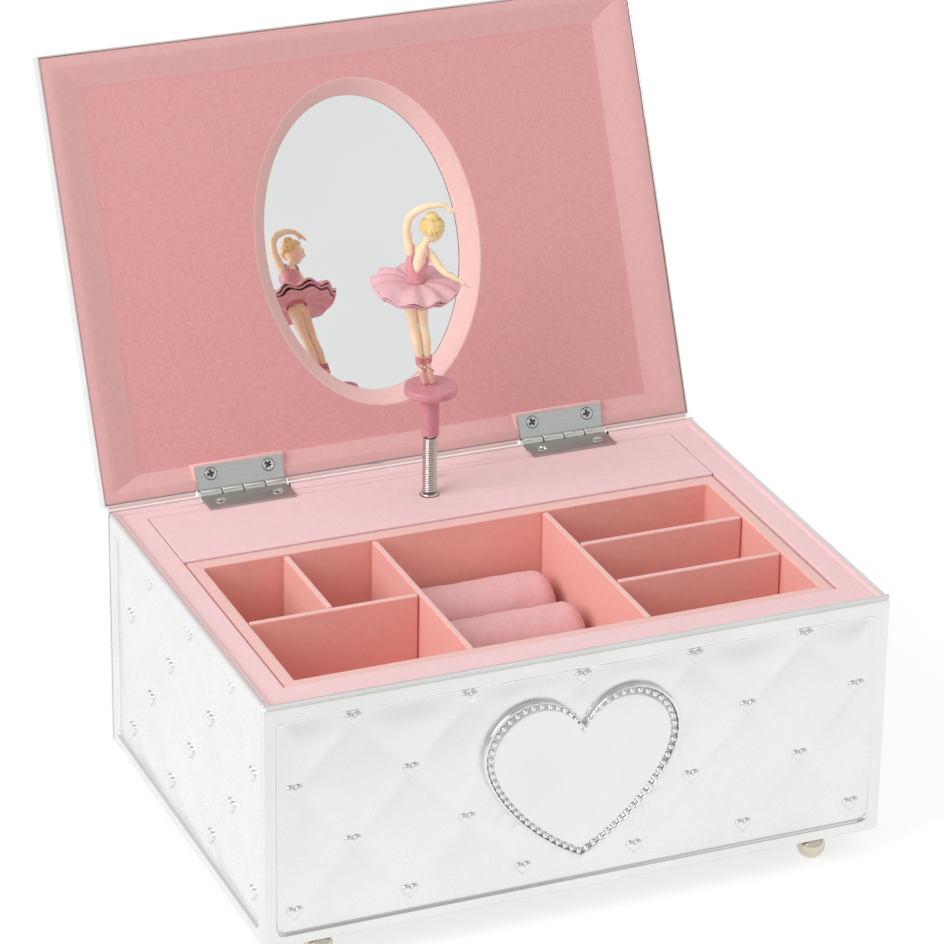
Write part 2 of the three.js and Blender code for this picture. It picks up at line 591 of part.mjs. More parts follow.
function addDriveTrain(shell) {
  const toSpindle = Math.atan2(SPINDLE.y - DRIVE.y, SPINDLE.x - DRIVE.x);
  const crownTooth = () => {
    const shape = new THREE.Shape();
    shape.moveTo(-0.5, -0.3);
    shape.lineTo(0.5, -0.3);
    shape.lineTo(0.5, 0);
    shape.lineTo(0.2, CROWN.height);
    shape.lineTo(-0.2, CROWN.height);
    shape.lineTo(-0.5, 0);
    return slabX(shape, [CROWN.radius - CROWN.length / 2, CROWN.radius + CROWN.length / 2]);
  };
  const crown = Array.from({ length: CROWN.teeth }, (_, i) =>
    crownTooth().translate([0, 0, DRIVE.high]).rotate([0, 0, (360 * i) / CROWN.teeth]));
  const drive = join(
    slabZ(gearShape(DRIVE.teeth, DRIVE.module, toSpindle), [DRIVE.low, DRIVE.high]),
    rod(1.2, [0.8, 26]), rod(2.6, [8.8, DRIVE.low + 0.2]), ...crown);
  add(shell, 'drive_gear', drive, brass).position.set(DRIVE.x, DRIVE.y, 0);

  const spindle = join(
    rod(SPINDLE.radius, [6, DECK_TOP + 0.6], 0, 0, 20),
    slabZ(gearShape(12, DRIVE.module, toSpindle + Math.PI + Math.PI / 12), [DRIVE.low - 0.2, DRIVE.high + 0.2]));
  add(shell, 'output_spindle', spindle, steel).position.set(SPINDLE.x, SPINDLE.y, 0);
  add(shell, 'spindle_bush', lathe([
    [1.8, DECK_TOP - 9], [2.35, DECK_TOP - 9], [2.35, DECK_TOP + 0.6], [1.8, DECK_TOP + 0.6],
  ], 24), brass).position.set(SPINDLE.x, SPINDLE.y, 0);

  const pinionX = DRIVE.x + CROWN.radius;
  const downGap = -Math.PI / 2 + Math.PI / PINION.teeth;
  const cylinder = join(
    rodX(CYLINDER.radius, [CYLINDER.x0, CYLINDER.x1], DRIVE.y, CYLINDER.z, 24),
    rodX(1, [pinionX - 1, 61.9], DRIVE.y, CYLINDER.z, 12),
    gearX(PINION.teeth, downGap, [pinionX - 1, pinionX + 1], CYLINDER_AXIS, PINION.module),
    gearX(TRAIN.big, 0, [58.6, 60.4], CYLINDER_AXIS, TRAIN.module));
  add(shell, 'cylinder', cylinder, brass);

  const towards = Math.atan2(0.8, -0.6);
  const wheel = join(
    rodX(0.8, [57.9, 65], WHEEL_AXIS.y, WHEEL_AXIS.z, 12),
    gearX(TRAIN.small, Math.PI + Math.PI / TRAIN.small, [58.7, 60.3], WHEEL_AXIS, TRAIN.module),
    gearX(TRAIN.big, towards, [63, 64.4], WHEEL_AXIS, TRAIN.module));
  add(shell, 'train_wheel', wheel, brass);

  const governor = join(
    rodX(0.6, [61.4, 73.6], GOVERNOR_AXIS.y, GOVERNOR_AXIS.z, 12),
    gearX(TRAIN.small, towards + Math.PI + Math.PI / TRAIN.small, [62.9, 64.5], GOVERNOR_AXIS, TRAIN.module),
    box([66.5, 71.5], [GOVERNOR_AXIS.y - 4.2, GOVERNOR_AXIS.y + 4.2],
      [GOVERNOR_AXIS.z - 0.3, GOVERNOR_AXIS.z + 0.3]));
  add(shell, 'governor_fan', governor, brass);
}

function addKeyAndStop(shell) {
  const wings = roundedRect([-8, 8], [-7.2, -1], 3);
  for (const x of [-4.9, 4.9]) {
    const hole = new THREE.Path();
    hole.absarc(x, -4.1, 1.5, 0, 2 * Math.PI);
    wings.holes.push(hole);
  }
  const blade = slabZ(wings, [-0.8, 0.8], 6).rotate([90, 0, 0]);
  const key = cut(join(blade, rod(2.8, [-1.4, 1.9])), rod(1.5, [0.4, 3]));
  add(shell, 'winding_key', key, steel).position.set(DRIVE.x, DRIVE.y, 0);
  add(shell, 'stop_pin', rod(STOP_PIN.radius, [STOP_PIN.low, STOP_PIN.high], 0, 0, 16), steel)
    .position.set(STOP_PIN.x, STOP_PIN.y, 0);
}

// ---------- assembly ----------

const jewelleryBox = new THREE.Group();
const shell = new THREE.Group();
shell.position.z = FOOT_HEIGHT;
jewelleryBox.add(shell);

const hingeAxis = new THREE.Group();
hingeAxis.position.set(0, HINGE.y, HINGE.z);
shell.add(hingeAxis);

const lid = new THREE.Group();
lid.rotation.x = (-LID_OPEN_DEG * Math.PI) / 180;
hingeAxis.add(lid);

addCase(shell);
addHeart(shell);
addBase(shell);
addLining(shell);
addTray(shell);
addRingRolls(shell);
addHinges(hingeAxis, lid);
addLidShell(lid);
addLidLiner(lid);
addDancer(shell);
addMovementFrame(shell);
addDriveTrain(shell);
addKeyAndStop(shell);

export default jewelleryBox;
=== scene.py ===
"""Looks for the ballerina jewellery box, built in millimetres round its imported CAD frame."""
import json
import math

import bmesh
import bpy
import numpy as np
from mathutils import Matrix, Vector


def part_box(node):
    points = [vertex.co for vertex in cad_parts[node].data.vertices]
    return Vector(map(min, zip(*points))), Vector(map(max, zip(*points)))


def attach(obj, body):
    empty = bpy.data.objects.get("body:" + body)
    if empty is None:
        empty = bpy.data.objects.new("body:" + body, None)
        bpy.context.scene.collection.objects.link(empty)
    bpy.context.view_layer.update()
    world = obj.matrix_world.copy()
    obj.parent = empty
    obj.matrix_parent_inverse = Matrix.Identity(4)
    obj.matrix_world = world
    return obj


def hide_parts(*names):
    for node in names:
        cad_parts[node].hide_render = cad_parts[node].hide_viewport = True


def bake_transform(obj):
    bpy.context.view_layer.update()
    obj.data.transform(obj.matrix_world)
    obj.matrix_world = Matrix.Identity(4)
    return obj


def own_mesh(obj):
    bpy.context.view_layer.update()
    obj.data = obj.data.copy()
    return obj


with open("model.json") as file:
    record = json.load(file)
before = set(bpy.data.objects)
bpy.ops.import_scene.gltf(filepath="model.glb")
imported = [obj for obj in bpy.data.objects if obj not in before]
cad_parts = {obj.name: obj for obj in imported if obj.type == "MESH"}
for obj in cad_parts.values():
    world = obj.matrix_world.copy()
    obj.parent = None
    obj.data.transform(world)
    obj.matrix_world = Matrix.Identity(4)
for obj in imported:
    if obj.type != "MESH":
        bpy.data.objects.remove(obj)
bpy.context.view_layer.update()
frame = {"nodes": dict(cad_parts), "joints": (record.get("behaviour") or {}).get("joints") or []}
scene = bpy.context.scene
MM = 0.001
rng = np.random.default_rng(7)


# ---------- places read from the frame, in millimetres ----------

def box(node):
    lo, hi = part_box(node)
    return np.array(lo) / MM, np.array(hi) / MM


def middle(node):
    lo, hi = box(node)
    return (lo + hi) / 2


def joint(name):
    return next(j for j in frame["joints"] if j["name"] == name)


FRONT_LO, FRONT_HI = box("front_panel")
LEFT_LO, LEFT_HI = box("left_panel")
BASE_Z = FRONT_LO[2]
HEIGHT = FRONT_HI[2] - BASE_Z
HALF_X = FRONT_HI[0]
HALF_Y = -FRONT_LO[1]
SIDE_WIDTH = LEFT_HI[1] - LEFT_LO[1]
WALL = FRONT_HI[1] - FRONT_LO[1]
DECK_Z = box("deck_panel")[1][2]
HINGE = np.array(joint("lid_hinge")["pos_m"]) / MM
LID_OPEN = math.radians(joint("lid_hinge")["range_deg"][1])
SPINDLE = middle("output_spindle")[:2]
LID_FRAME = Matrix.Translation(Vector(HINGE)) @ Matrix.Rotation(-LID_OPEN, 4, "X")
LID_BACK = HALF_Y - HINGE[1]
LID_FRONT = LID_BACK - 2 * HALF_Y
LEAF_GAP = 0.3
LID_RIM = BASE_Z + HEIGHT + LEAF_GAP - HINGE[2]


def lid_box(node):
    """A node's box in the lid's own frame, in which it is shut."""
    points = np.array([LID_FRAME.inverted() @ (v.co / MM) for v in frame["nodes"][node].data.vertices])
    return points.min(0), points.max(0)


# ---------- node materials ----------

def ramp(low, high, at=(0.35, 0.65)):
    return [(at[0], low), (at[1], high)]


class Finish:
    """A Principled material with its texture nodes on object coordinates, in metres."""

    def __init__(self, name, color, roughness, metallic=0.0, **sockets):
        self.material = bpy.data.materials.new(name)
        self.material.use_nodes = True
        self.tree = self.material.node_tree
        self.shader = self.tree.nodes["Principled BSDF"]
        self.shader.inputs["Base Color"].default_value = (*color, 1)
        self.shader.inputs["Roughness"].default_value = roughness
        self.shader.inputs["Metallic"].default_value = metallic
        for socket, value in sockets.items():
            self.shader.inputs[socket.replace("_", " ")].default_value = value
        self.place = self.tree.nodes.new("ShaderNodeTexCoord").outputs["Object"]
        self.bumped = None

    def node(self, kind, **values):
        made = self.tree.nodes.new(kind)
        for key, value in values.items():
            if key in made.inputs:
                made.inputs[key].default_value = value
            else:
                setattr(made, key, value)
        return made

    def link(self, a, b):
        self.tree.links.new(a, b)

    def stretched(self, scale):
        mapping = self.node("ShaderNodeMapping")
        mapping.inputs["Scale"].default_value = scale
        self.link(self.place, mapping.inputs["Vector"])
        return mapping.outputs["Vector"]

    def noise(self, scale, detail=3.0, rough=0.55, stretch=None):
        made = self.node("ShaderNodeTexNoise", Scale=scale, Detail=detail, Roughness=rough)
        self.link(self.stretched(stretch) if stretch else self.place, made.inputs["Vector"])
        return made.outputs["Fac"]

    def tones(self, fac, stops):
        """Base colour from a noise through a colour ramp."""
        made = self.node("ShaderNodeValToRGB")
        elements = made.color_ramp.elements
        while len(elements) < len(stops):
            elements.new(0.5)
        for element, (at, color) in zip(elements, stops):
            element.position, element.color = at, (*color, 1)
        self.link(fac, made.inputs["Fac"])
        self.link(made.outputs["Color"], self.shader.inputs["Base Color"])
        return self

    def remapped(self, fac, from_low, from_high, to_low, to_high):
        made = self.node("ShaderNodeMapRange")
        sockets = ("From Min", "From Max", "To Min", "To Max")
        for socket, value in zip(sockets, (from_low, from_high, to_low, to_high)):
            made.inputs[socket].default_value = value
        self.link(fac, made.inputs["Value"])
        return made.outputs["Result"]

    def rough(self, fac, low, high):
        self.link(self.remapped(fac, 0.3, 0.7, low, high), self.shader.inputs["Roughness"])
        return self

    def bump(self, fac, height_mm, strength=1.0):
        made = self.node("ShaderNodeBump", Strength=strength, Distance=height_mm * MM)
        self.link(fac, made.inputs["Height"])
        if self.bumped:
            self.link(self.bumped, made.inputs["Normal"])
        self.bumped = made.outputs["Normal"]
        self.link(self.bumped, self.shader.inputs["Normal"])
        return self


def rgb(*display):
    """8-bit display values as linear colour."""
    shares = [c / 255 for c in display]
    return tuple(c / 12.92 if c <= 0.04045 else ((c + 0.055) / 1.055) ** 2.4 for c in shares)


def plated(name, color, roughness, spread, wave_mm=0.0, wave_scale=90):
    f = Finish(name, color, roughness, 1.0)
    f.tones(f.noise(60, 4), ramp(tuple(c * 0.965 for c in color), color))
    f.rough(f.noise(420, 5, 0.6), roughness - spread, roughness + spread)
    if wave_mm:
        f.bump(f.noise(wave_scale, 2, 0.4), wave_mm)
    f.bump(f.noise(1400, 2), 0.001, 0.3)
    return f.material


def flock(name, color, deep, pile_mm=0.14, mottle=1.0, sheen=0.35):
    f = Finish(name, color, 0.92, 0.0, Sheen_Weight=sheen, Sheen_Roughness=0.45)
    f.shader.inputs["Sheen Tint"].default_value = (1.0, 0.88, 0.87, 1)
    f.tones(f.noise(650 * mottle, 5, 0.65), ramp(deep, color, (0.25, 0.72)))
    f.bump(f.noise(900 * mottle, 3, 0.6), pile_mm * 1.6, 0.5)
    f.bump(f.noise(5200, 2, 0.7), pile_mm, 0.5)
    return f.material


def plastic(name, color, shade, roughness, grain=700, subsurface=0.0):
    f = Finish(name, color, roughness, 0.0, Subsurface_Weight=subsurface, Subsurface_Scale=0.0015)
    f.tones(f.noise(grain, 4, 0.6), ramp(shade, color))
    f.rough(f.noise(grain * 2, 3), roughness - 0.06, roughness + 0.06)
    f.bump(f.noise(grain * 3, 2), 0.012, 0.6)
    return f.material


def brushed(name, color, roughness, along=(60, 2500, 2500)):
    f = Finish(name, color, roughness, 1.0)
    streak = f.noise(1.0, 3, 0.6, stretch=along)
    f.tones(streak, ramp(tuple(c * 0.86 for c in color), color))
    f.rough(streak, roughness - 0.08, roughness + 0.1)
    f.bump(streak, 0.01, 0.5)
    return f.material


SILVER_FIELD = plated("silver_embossed", (0.81, 0.812, 0.815), 0.28, 0.015, 0.02)
# Brighter silver for the rolled top lip: a painted highlight along the edge.
SILVER_LIP_HIGHLIGHT = plated("silver_lip_painted_highlight", (0.95, 0.948, 0.935), 0.45, 0.04)
SILVER_TRIM = plated("silver_trim", (0.8, 0.8, 0.792), 0.13, 0.03)
SILVER_PLAQUE = plated("silver_plaque", (0.8, 0.8, 0.8), 0.16, 0.03)
# Darker silver for the channel under the beads: painted shade between the beads.
SILVER_CHANNEL_SHADE = plated("silver_bead_channel_painted_shade", (0.64, 0.64, 0.63), 0.3, 0.05)
SILVER_BEAD = plated("silver_bead", (0.84, 0.84, 0.83), 0.07, 0.02)
FOOT_METAL = plated("foot_silver", (0.7, 0.645, 0.53), 0.26, 0.05)
DECK_FLOCK = flock("deck_flock", rgb(243, 208, 209), rgb(238, 200, 201), mottle=0.7)
TRAY_FLOCK = flock("tray_flock", rgb(246, 182, 172), rgb(240, 172, 161))
# Paler tray flock for the walls' top faces: a painted highlight where the light catches the rim.
TRAY_TOP_HIGHLIGHT_FLOCK = flock("tray_top_painted_highlight", rgb(240, 196, 190), rgb(235, 187, 181), 0.1)
LID_FLOCK = flock("lid_flock", rgb(227, 166, 164), rgb(215, 152, 151), 0.2, 1.5)
# Paler lid flock for the oval's bevel, the hinge pads and the hem's inner strip: a painted highlight where
# the flock's edges catch the light.
LID_EDGE_HIGHLIGHT_FLOCK = flock("lid_edge_painted_highlight", rgb(236, 196, 191), rgb(230, 187, 182), 0.1)
# A paler copy of the lid flock for the sloped border: painted light, the tone of the lit lower bevel on every
# side.
LID_BEVEL_LIT_FLOCK = flock("lid_bevel_painted_light", rgb(226, 177, 174), rgb(219, 167, 165), 0.12)
ROLL_VELVET = flock("roll_velvet", rgb(238, 188, 188), rgb(229, 173, 174), 0.12, 1.2, 0.45)
STEEL = brushed("hinge_steel", rgb(205, 208, 207), 0.34)
STEEL_SHADED = brushed("hinge_steel_base", rgb(190, 191, 185), 0.36)
# A lighter copy of the hinge steel for the knuckles: a painted highlight on the round barrels.
KNUCKLE_STEEL_LIT = brushed("hinge_knuckle_painted_highlight", rgb(226, 226, 220), 0.2, (300, 2500, 2500))
SCREW_STEEL = brushed("screw_steel", rgb(216, 217, 214), 0.2, (1800, 1800, 300))
# A dark copy of the screw steel for the cross recesses: painted shade.
RECESS_SHADE_STEEL = brushed("screw_recess_painted_shade", rgb(104, 104, 100), 0.5, (1800, 1800, 300))
SPRING_STEEL = brushed("spring_wire", rgb(222, 221, 214), 0.18, (3000, 3000, 400))
BRASS = brushed("machined_brass", (0.72, 0.52, 0.24), 0.3, (300, 2500, 2500))
ZINC = plated("cast_zinc", (0.5, 0.51, 0.52), 0.5, 0.1, 0.06, 500)
BOARD = plastic("raw_board", (0.32, 0.2, 0.11), (0.24, 0.14, 0.075), 0.85, 350)
FELT = flock("base_felt", (0.24, 0.235, 0.23), (0.17, 0.165, 0.16), 0.15)
PEDESTAL = plastic("pedestal_pink", rgb(215, 149, 160), rgb(205, 136, 148), 0.34, 500, 0.1)
SKIN = plastic("figure_skin", rgb(249, 229, 196), rgb(244, 217, 180), 0.5, 300, 0.1)
HAIR = plastic("figure_hair", rgb(246, 220, 158), rgb(224, 188, 120), 0.45, 900)
BODICE = plastic("figure_bodice", rgb(228, 162, 170), rgb(216, 143, 154), 0.42, 500)
TUTU = plastic("figure_tutu", rgb(233, 187, 193), rgb(224, 171, 180), 0.46, 420, 0.1)
RIBBON = plastic("figure_ribbon", rgb(224, 150, 152), rgb(212, 134, 138), 0.5)
SHOE = plastic("figure_shoe", rgb(234, 186, 170), rgb(226, 172, 156), 0.42)
FEATURE = plastic("figure_feature", rgb(110, 76, 60), rgb(96, 62, 50), 0.4)


def mirror_material():
    f = Finish("silvered_glass", (0.88, 0.885, 0.885), 0.015, 1.0)
    f.tones(f.noise(14, 3), ramp((0.875, 0.88, 0.88), (0.91, 0.915, 0.915)))
    f.bump(f.noise(45, 1), 0.004, 0.6)
    return f.material


MIRROR = mirror_material()


# ---------- mesh tools ----------

def piece(name, verts, faces, material, body, stands_for=(), place=None, smooth=True):
    """A named mesh from points in millimetres, riding on a body."""
    points = np.asarray(verts, float)
    if place is not None:
        m = np.array(place, float)
        points = points @ m[:3, :3].T + m[:3, 3]
    mesh = bpy.data.meshes.new(name)
    mesh.from_pydata((points * MM).tolist(), [], [tuple(f) for f in faces])
    mesh.validate()
    mesh.materials.append(material)
    if smooth:
        mesh.shade_smooth()
    obj = bpy.data.objects.new(name, mesh)
    scene.collection.objects.link(obj)
    if stands_for:
        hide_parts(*stands_for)
    if body:
        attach(obj, body)
    return obj


def grid_faces(nu, nv, wrap_u=False, wrap_v=False):
    faces = []
    for i in range(nu if wrap_u else nu - 1):
        for j in range(nv if wrap_v else nv - 1):
            a, b = i * nv, ((i + 1) % nu) * nv
            k = (j + 1) % nv
            faces.append((a + j, b + j, b + k, a + k))
    return faces


class Build:
    """Collects several closed shapes into one mesh."""

    def __init__(self):
        self.verts, self.faces, self.count = [], [], 0

    def add(self, verts, faces, flip=False):
        verts = np.asarray(verts, float)
        self.verts.append(verts)
        for f in faces:
            f = [v + self.count for v in f]
            self.faces.append(f[::-1] if flip else f)
        self.count += len(verts)
        return self

    def loft(self, rings, cap_low=True, cap_high=True, flip=False):
        """Closed rings, all with the same number of points."""
        n, m = len(rings), len(rings[0])
        faces = grid_faces(n, m, wrap_v=True)
        if cap_low:
            faces.append(tuple(range(m)))
        if cap_high:
            faces.append(tuple((n - 1) * m + k for k in reversed(range(m))))
        verts = np.concatenate([np.asarray(r, float) for r in rings])
        return self.add(verts, [f[::-1] for f in faces], flip)

    def lathe(self, profile, centre=(0, 0, 0), segments=64, axis="z"):
        """[radius, height] points from one end to the other."""
        turn = np.linspace(0, 2 * np.pi, segments, endpoint=False)
        rings = []
        for r, h in profile:
            flat = np.stack([r * np.cos(turn), r * np.sin(turn), np.full(segments, h)], 1)
            rings.append((flat[:, [2, 0, 1]] if axis == "x" else flat) + np.array(centre))
        return self.loft(rings, flip=profile[0][1] > profile[-1][1])

    def tube(self, path, radius, sides=10, closed=False):
        """A round tube along points; radius is a number or one for each point."""
        path = np.asarray(path, float)
        radius = np.broadcast_to(radius, len(path))
        ahead = np.roll(path, -1, 0) if closed else np.vstack([path[1:], path[-1:]])
        behind = np.roll(path, 1, 0) if closed else np.vstack([path[:1], path[:-1]])
        along = ahead - behind
        along /= np.linalg.norm(along, axis=1)[:, None]
        side = np.cross(along[0], (0.0, 0.0, 1.0))
        if np.linalg.norm(side) < 0.1:
            side = np.cross(along[0], (0.0, 1.0, 0.0))
        turn = np.linspace(0, 2 * np.pi, sides, endpoint=False)
        rings = []
        for p, t, r in zip(path, along, radius):
            side = side - t * (side @ t)
            side /= np.linalg.norm(side)
            up = np.cross(t, side)
            rings.append(p + r * (np.cos(turn)[:, None] * side + np.sin(turn)[:, None] * up))
        verts = np.concatenate(rings)
        faces = grid_faces(len(path), sides, wrap_u=closed, wrap_v=True)
        if not closed:
            faces.append(tuple(reversed(range(sides))))
            faces.append(tuple((len(path) - 1) * sides + k for k in range(sides)))
        return self.add(verts, [f[::-1] for f in faces])

    def ball(self, centre, radii, segments=16, rings=10):
        tilt = np.linspace(-np.pi / 2, np.pi / 2, rings + 1)[1:-1]
        turn = np.linspace(0, 2 * np.pi, segments, endpoint=False)
        radii = np.broadcast_to(radii, 3)
        loops = []
        for t in tilt:
            flat = [np.cos(t) * np.cos(turn), np.cos(t) * np.sin(turn), np.full(segments, np.sin(t))]
            loops.append(np.stack(flat, 1) * radii + np.array(centre))
        return self.loft(loops)

    def piece(self, name, material, body, slot, stands_for=(), place=None, smooth=True):
        verts = np.concatenate(self.verts)
        return piece(name, verts, self.faces, material, body, stands_for, place, smooth)


def apply_modifiers(obj):
    graph = bpy.context.evaluated_depsgraph_get()
    mesh = bpy.data.meshes.new_from_object(obj.evaluated_get(graph))
    old = obj.data
    obj.modifiers.clear()
    obj.data = mesh
    bpy.data.meshes.remove(old)


def cut_boxes(obj, boxes, place=None):
    """Takes boxes, in millimetres, out of a piece."""
    tool = Build()
    for lo, hi in boxes:
        corners = [(x, y, z) for x in (lo[0], hi[0]) for y in (lo[1], hi[1]) for z in (lo[2], hi[2])]
        tool.add(corners, [(0, 1, 3, 2), (4, 6, 7, 5), (0, 4, 5, 1),
                           (2, 3, 7, 6), (0, 2, 6, 4), (1, 5, 7, 3)])
    cutter = tool.piece(obj.name + "_cutter", obj.data.materials[0], "root", "silver_plate", place=place)
    bpy.context.view_layer.update()
    modifier = obj.modifiers.new("cut", "BOOLEAN")
    modifier.operation, modifier.object, modifier.solver = "DIFFERENCE", cutter, "EXACT"
    apply_modifiers(obj)
    bpy.data.objects.remove(cutter)


def smooth_by_angle(obj, degrees):
    obj.data.set_sharp_from_angle(angle=math.radians(degrees))


def mend(obj):
    """Closes open ends and turns every face outward."""
    bm = bmesh.new()
    bm.from_mesh(obj.data)
    bmesh.ops.holes_fill(bm, edges=[e for e in bm.edges if e.is_boundary])
    bmesh.ops.recalc_face_normals(bm, faces=bm.faces)
    bm.to_mesh(obj.data)
    bm.free()
    obj.data.shade_smooth()


def dress(node, material, bevel_mm=0.0, segments=3):
    """A kept CAD node: its finish, and a small round on its edges as a modifier."""
    obj = frame["nodes"][node]
    obj.data.materials.clear()
    obj.data.materials.append(material)
    weld = obj.modifiers.new("weld", "WELD")
    weld.merge_threshold = 1e-6
    if bevel_mm:
        bevel = obj.modifiers.new("edge", "BEVEL")
        bevel.width, bevel.segments = bevel_mm * MM, segments
        bevel.limit_method, bevel.angle_limit = "ANGLE", math.radians(40)
    return obj


def paint(obj, material, place, test):
    """A second finish on the faces whose middles, in the piece's own millimetres, pass the test."""
    inverse = np.linalg.inv(np.array(place, float))
    centres = np.zeros(len(obj.data.polygons) * 3)
    obj.data.polygons.foreach_get("center", centres)
    local = centres.reshape(-1, 3) / MM @ inverse[:3, :3].T + inverse[:3, 3]
    index = np.zeros(len(local), np.int32)
    obj.data.polygons.foreach_get("material_index", index)
    index[test(*local.T)] = len(obj.data.materials)
    obj.data.materials.append(material)
    obj.data.polygons.foreach_set("material_index", index)


def frame_of(origin, u, v):
    """A placement whose X and Y run along u and v."""
    u, v = Vector(u), Vector(v)
    m = Matrix.Identity(4)
    for k, axis in enumerate((u, v, u.cross(v))):
        for row in range(3):
            m[row][k] = axis[row]
    m.translation = Vector(origin)
    return m


def perimeter(nu, nv):
    """The indices round the edge of a grid of nu by nv points."""
    near, far = [i * nv for i in range(nu)], [i * nv + nv - 1 for i in range(nu - 2, -1, -1)]
    return near + [(nu - 1) * nv + j for j in range(1, nv)] + far + list(range(nv - 2, 0, -1))


def smin(a, b, k):
    """A smooth lesser of two heights."""
    h = np.clip(0.5 + 0.5 * (b - a) / k, 0, 1)
    return b * (1 - h) + a * h - k * h * (1 - h)


def smoothstep(a, b, x):
    t = np.clip((x - a) / (b - a), 0, 1)
    return t * t * (3 - 2 * t)


# ---------- quilted sheet ----------

PUFF = 0.95
FIELD = -0.95


def heart_curve(count, width, height):
    """A small heart's outline about its middle, counter-clockwise."""
    t = np.linspace(0, 2 * np.pi, count, endpoint=False)
    x = 16 * np.sin(t) ** 3
    y = 13 * np.cos(t) - 5 * np.cos(2 * t) - 2 * np.cos(3 * t) - np.cos(4 * t)
    return np.stack([-x / 32 * width, (y + 2.5) / 29 * height], 1)


SMALL_HEART = heart_curve(28, 4.7, 4.1)
PANEL_HEART = [(1.0, -0.4), (1.0, 0.2), (0.95, 0.42), (0.84, 0.58), (0.64, 0.7), (0.35, 0.77), (0.02, 0.8)]
LID_HEART = [(1.0, -0.5), (1.0, 0.05), (0.93, 0.3), (0.8, 0.47), (0.6, 0.56), (0.3, 0.6), (0.02, 0.6)]


def add_button(build, u, v, base, steps):
    """A small raised heart pressed into the sheet, from steps of size and height."""
    build.loft([np.column_stack([SMALL_HEART * size + (u, v), np.full(28, base + rise)])
                for size, rise in steps])


def quilt_points(half_u, low, high, u0, v0, a, b):
    points = []
    for row in range(-8, 9):
        for k in range(-8, 9):
            u, v = u0 + (2 * k + row % 2) * a, v0 - row * b
            if abs(u) < half_u - 1.5 and low + 1.5 < v < high - 1.5:
                points.append((u, v))
    return points


def quilt_height(u, v, u0, v0, a, b, hearts):
    """The pillowed surface, 0 in a seam and 1 in the middle of a diamond, dimpled at each heart."""
    p = (u - u0) / a + (v - v0) / b
    q = (u - u0) / a - (v - v0) / b
    across = np.abs(np.sin(np.pi * p / 2)) * np.abs(np.sin(np.pi * q / 2))
    height = across ** 0.66
    for hu, hv in hearts:
        d2 = ((u - hu) / 3.4) ** 2 + ((v - hv) / 3.0) ** 2
        height = height - 0.15 * np.exp(-d2)
    return height


def lines(low, high, pitch, fine):
    """Grid lines at a pitch, with extra ones close to the places in fine."""
    base = list(np.arange(low, high, pitch)) + [high]
    extra = [f + side * d for f in fine for side in (-1, 1) for d in (0.08, 0.25, 0.5, 0.9)]
    rim = (0.07, 0.2, 0.42, 0.75, 1.15)
    edge = [low + d for d in rim] + [high - d for d in rim]
    found = sorted(set(round(x, 3) for x in base + extra + edge if low <= x <= high))
    kept = [found[0]]
    for x in found[1:]:
        if x - kept[-1] > 0.055:
            kept.append(x)
    kept[-1] = high
    return np.array(kept)


BORDER = dict(side=3.3, top=5.0, bottom=3.5, radius=2.5)


def field_distance(u, v, half):
    """Signed distance into the sunk field, from its rounded outline."""
    low, high, r = BORDER["bottom"], HEIGHT - BORDER["top"], BORDER["radius"]
    qx = np.abs(u) - (half - BORDER["side"]) + r
    qy = np.abs(v - (low + high) / 2) - (high - low) / 2 + r
    return -(np.hypot(np.maximum(qx, 0), np.maximum(qy, 0)) + np.minimum(np.maximum(qx, qy), 0) - r)


def panel_mesh(width, u0, v0, a, b, keep_flat=None):
    """A quilted panel: outward is +Z, its foot at y 0, its outer face at z 0."""
    half = width / 2
    us = lines(-half, half, 1.05, [-half + BORDER["side"], half - BORDER["side"]])
    vs = lines(0, HEIGHT, 1.05, [BORDER["bottom"], HEIGHT - BORDER["top"]])
    u, v = np.meshgrid(us, vs, indexing="ij")
    inside = field_distance(u, v, half)
    hearts = quilt_points(half - BORDER["side"], BORDER["bottom"], HEIGHT - BORDER["top"], u0, v0, a, b)
    if keep_flat is not None:
        hearts = [h for h in hearts if keep_flat(*h) > 3.0]
    puff = quilt_height(u, v, u0, v0, a, b, hearts) * smoothstep(0.3, 9.0, inside) ** 0.8
    if keep_flat is not None:
        puff = puff * smoothstep(-1.0, 5.0, keep_flat(u, v))
    height = FIELD * smoothstep(-0.4, 0.45, inside) + PUFF * puff
    rim = np.minimum(np.minimum(half - np.abs(u), v), HEIGHT - v)
    reach = np.where(HEIGHT - v < 1.2, 1.15, 0.7)
    left = np.clip(reach - rim, 0, reach)
    height = height - (reach - np.sqrt(np.maximum(reach ** 2 - left ** 2, 0)))
    height = np.maximum(height, -1.2)
    nu, nv = len(us), len(vs)
    verts = np.stack([u, v, height], 2).reshape(-1, 3)
    ring = perimeter(nu, nv)
    back = verts[ring].copy()
    back[:, 2] = -WALL
    n, m = len(verts), len(ring)
    faces = grid_faces(nu, nv)
    faces += [(ring[k], n + k, n + (k + 1) % m, ring[(k + 1) % m]) for k in range(m)]
    faces.append(tuple(n + k for k in reversed(range(m))))
    return np.concatenate([verts, back]), faces, hearts


def quilted_panel(name, node, width, place, grid, keep_flat=None, notches=None):
    verts, faces, hearts = panel_mesh(width, *grid, keep_flat)
    sheet = Build().add(verts, faces)
    obj = sheet.piece(name, SILVER_FIELD, "root", "silver_plate", [node], place)
    if notches:
        cut_boxes(obj, notches)
    buttons = Build()
    for u, v in hearts:
        add_button(buttons, u, v, FIELD - 0.05, PANEL_HEART)
    buttons.piece(name + "_hearts", SILVER_TRIM, "root", "silver_plate", (), place)
    smooth_by_angle(obj, 50)
    paint(obj, SILVER_TRIM, place, lambda u, v, n: field_distance(u, v, width / 2) < 0)
    # Painted highlight: the top lip gets the brighter silver.
    paint(obj, SILVER_LIP_HIGHLIGHT, place, lambda u, v, n: v > HEIGHT - 0.8)


# ---------- the heart on the front ----------

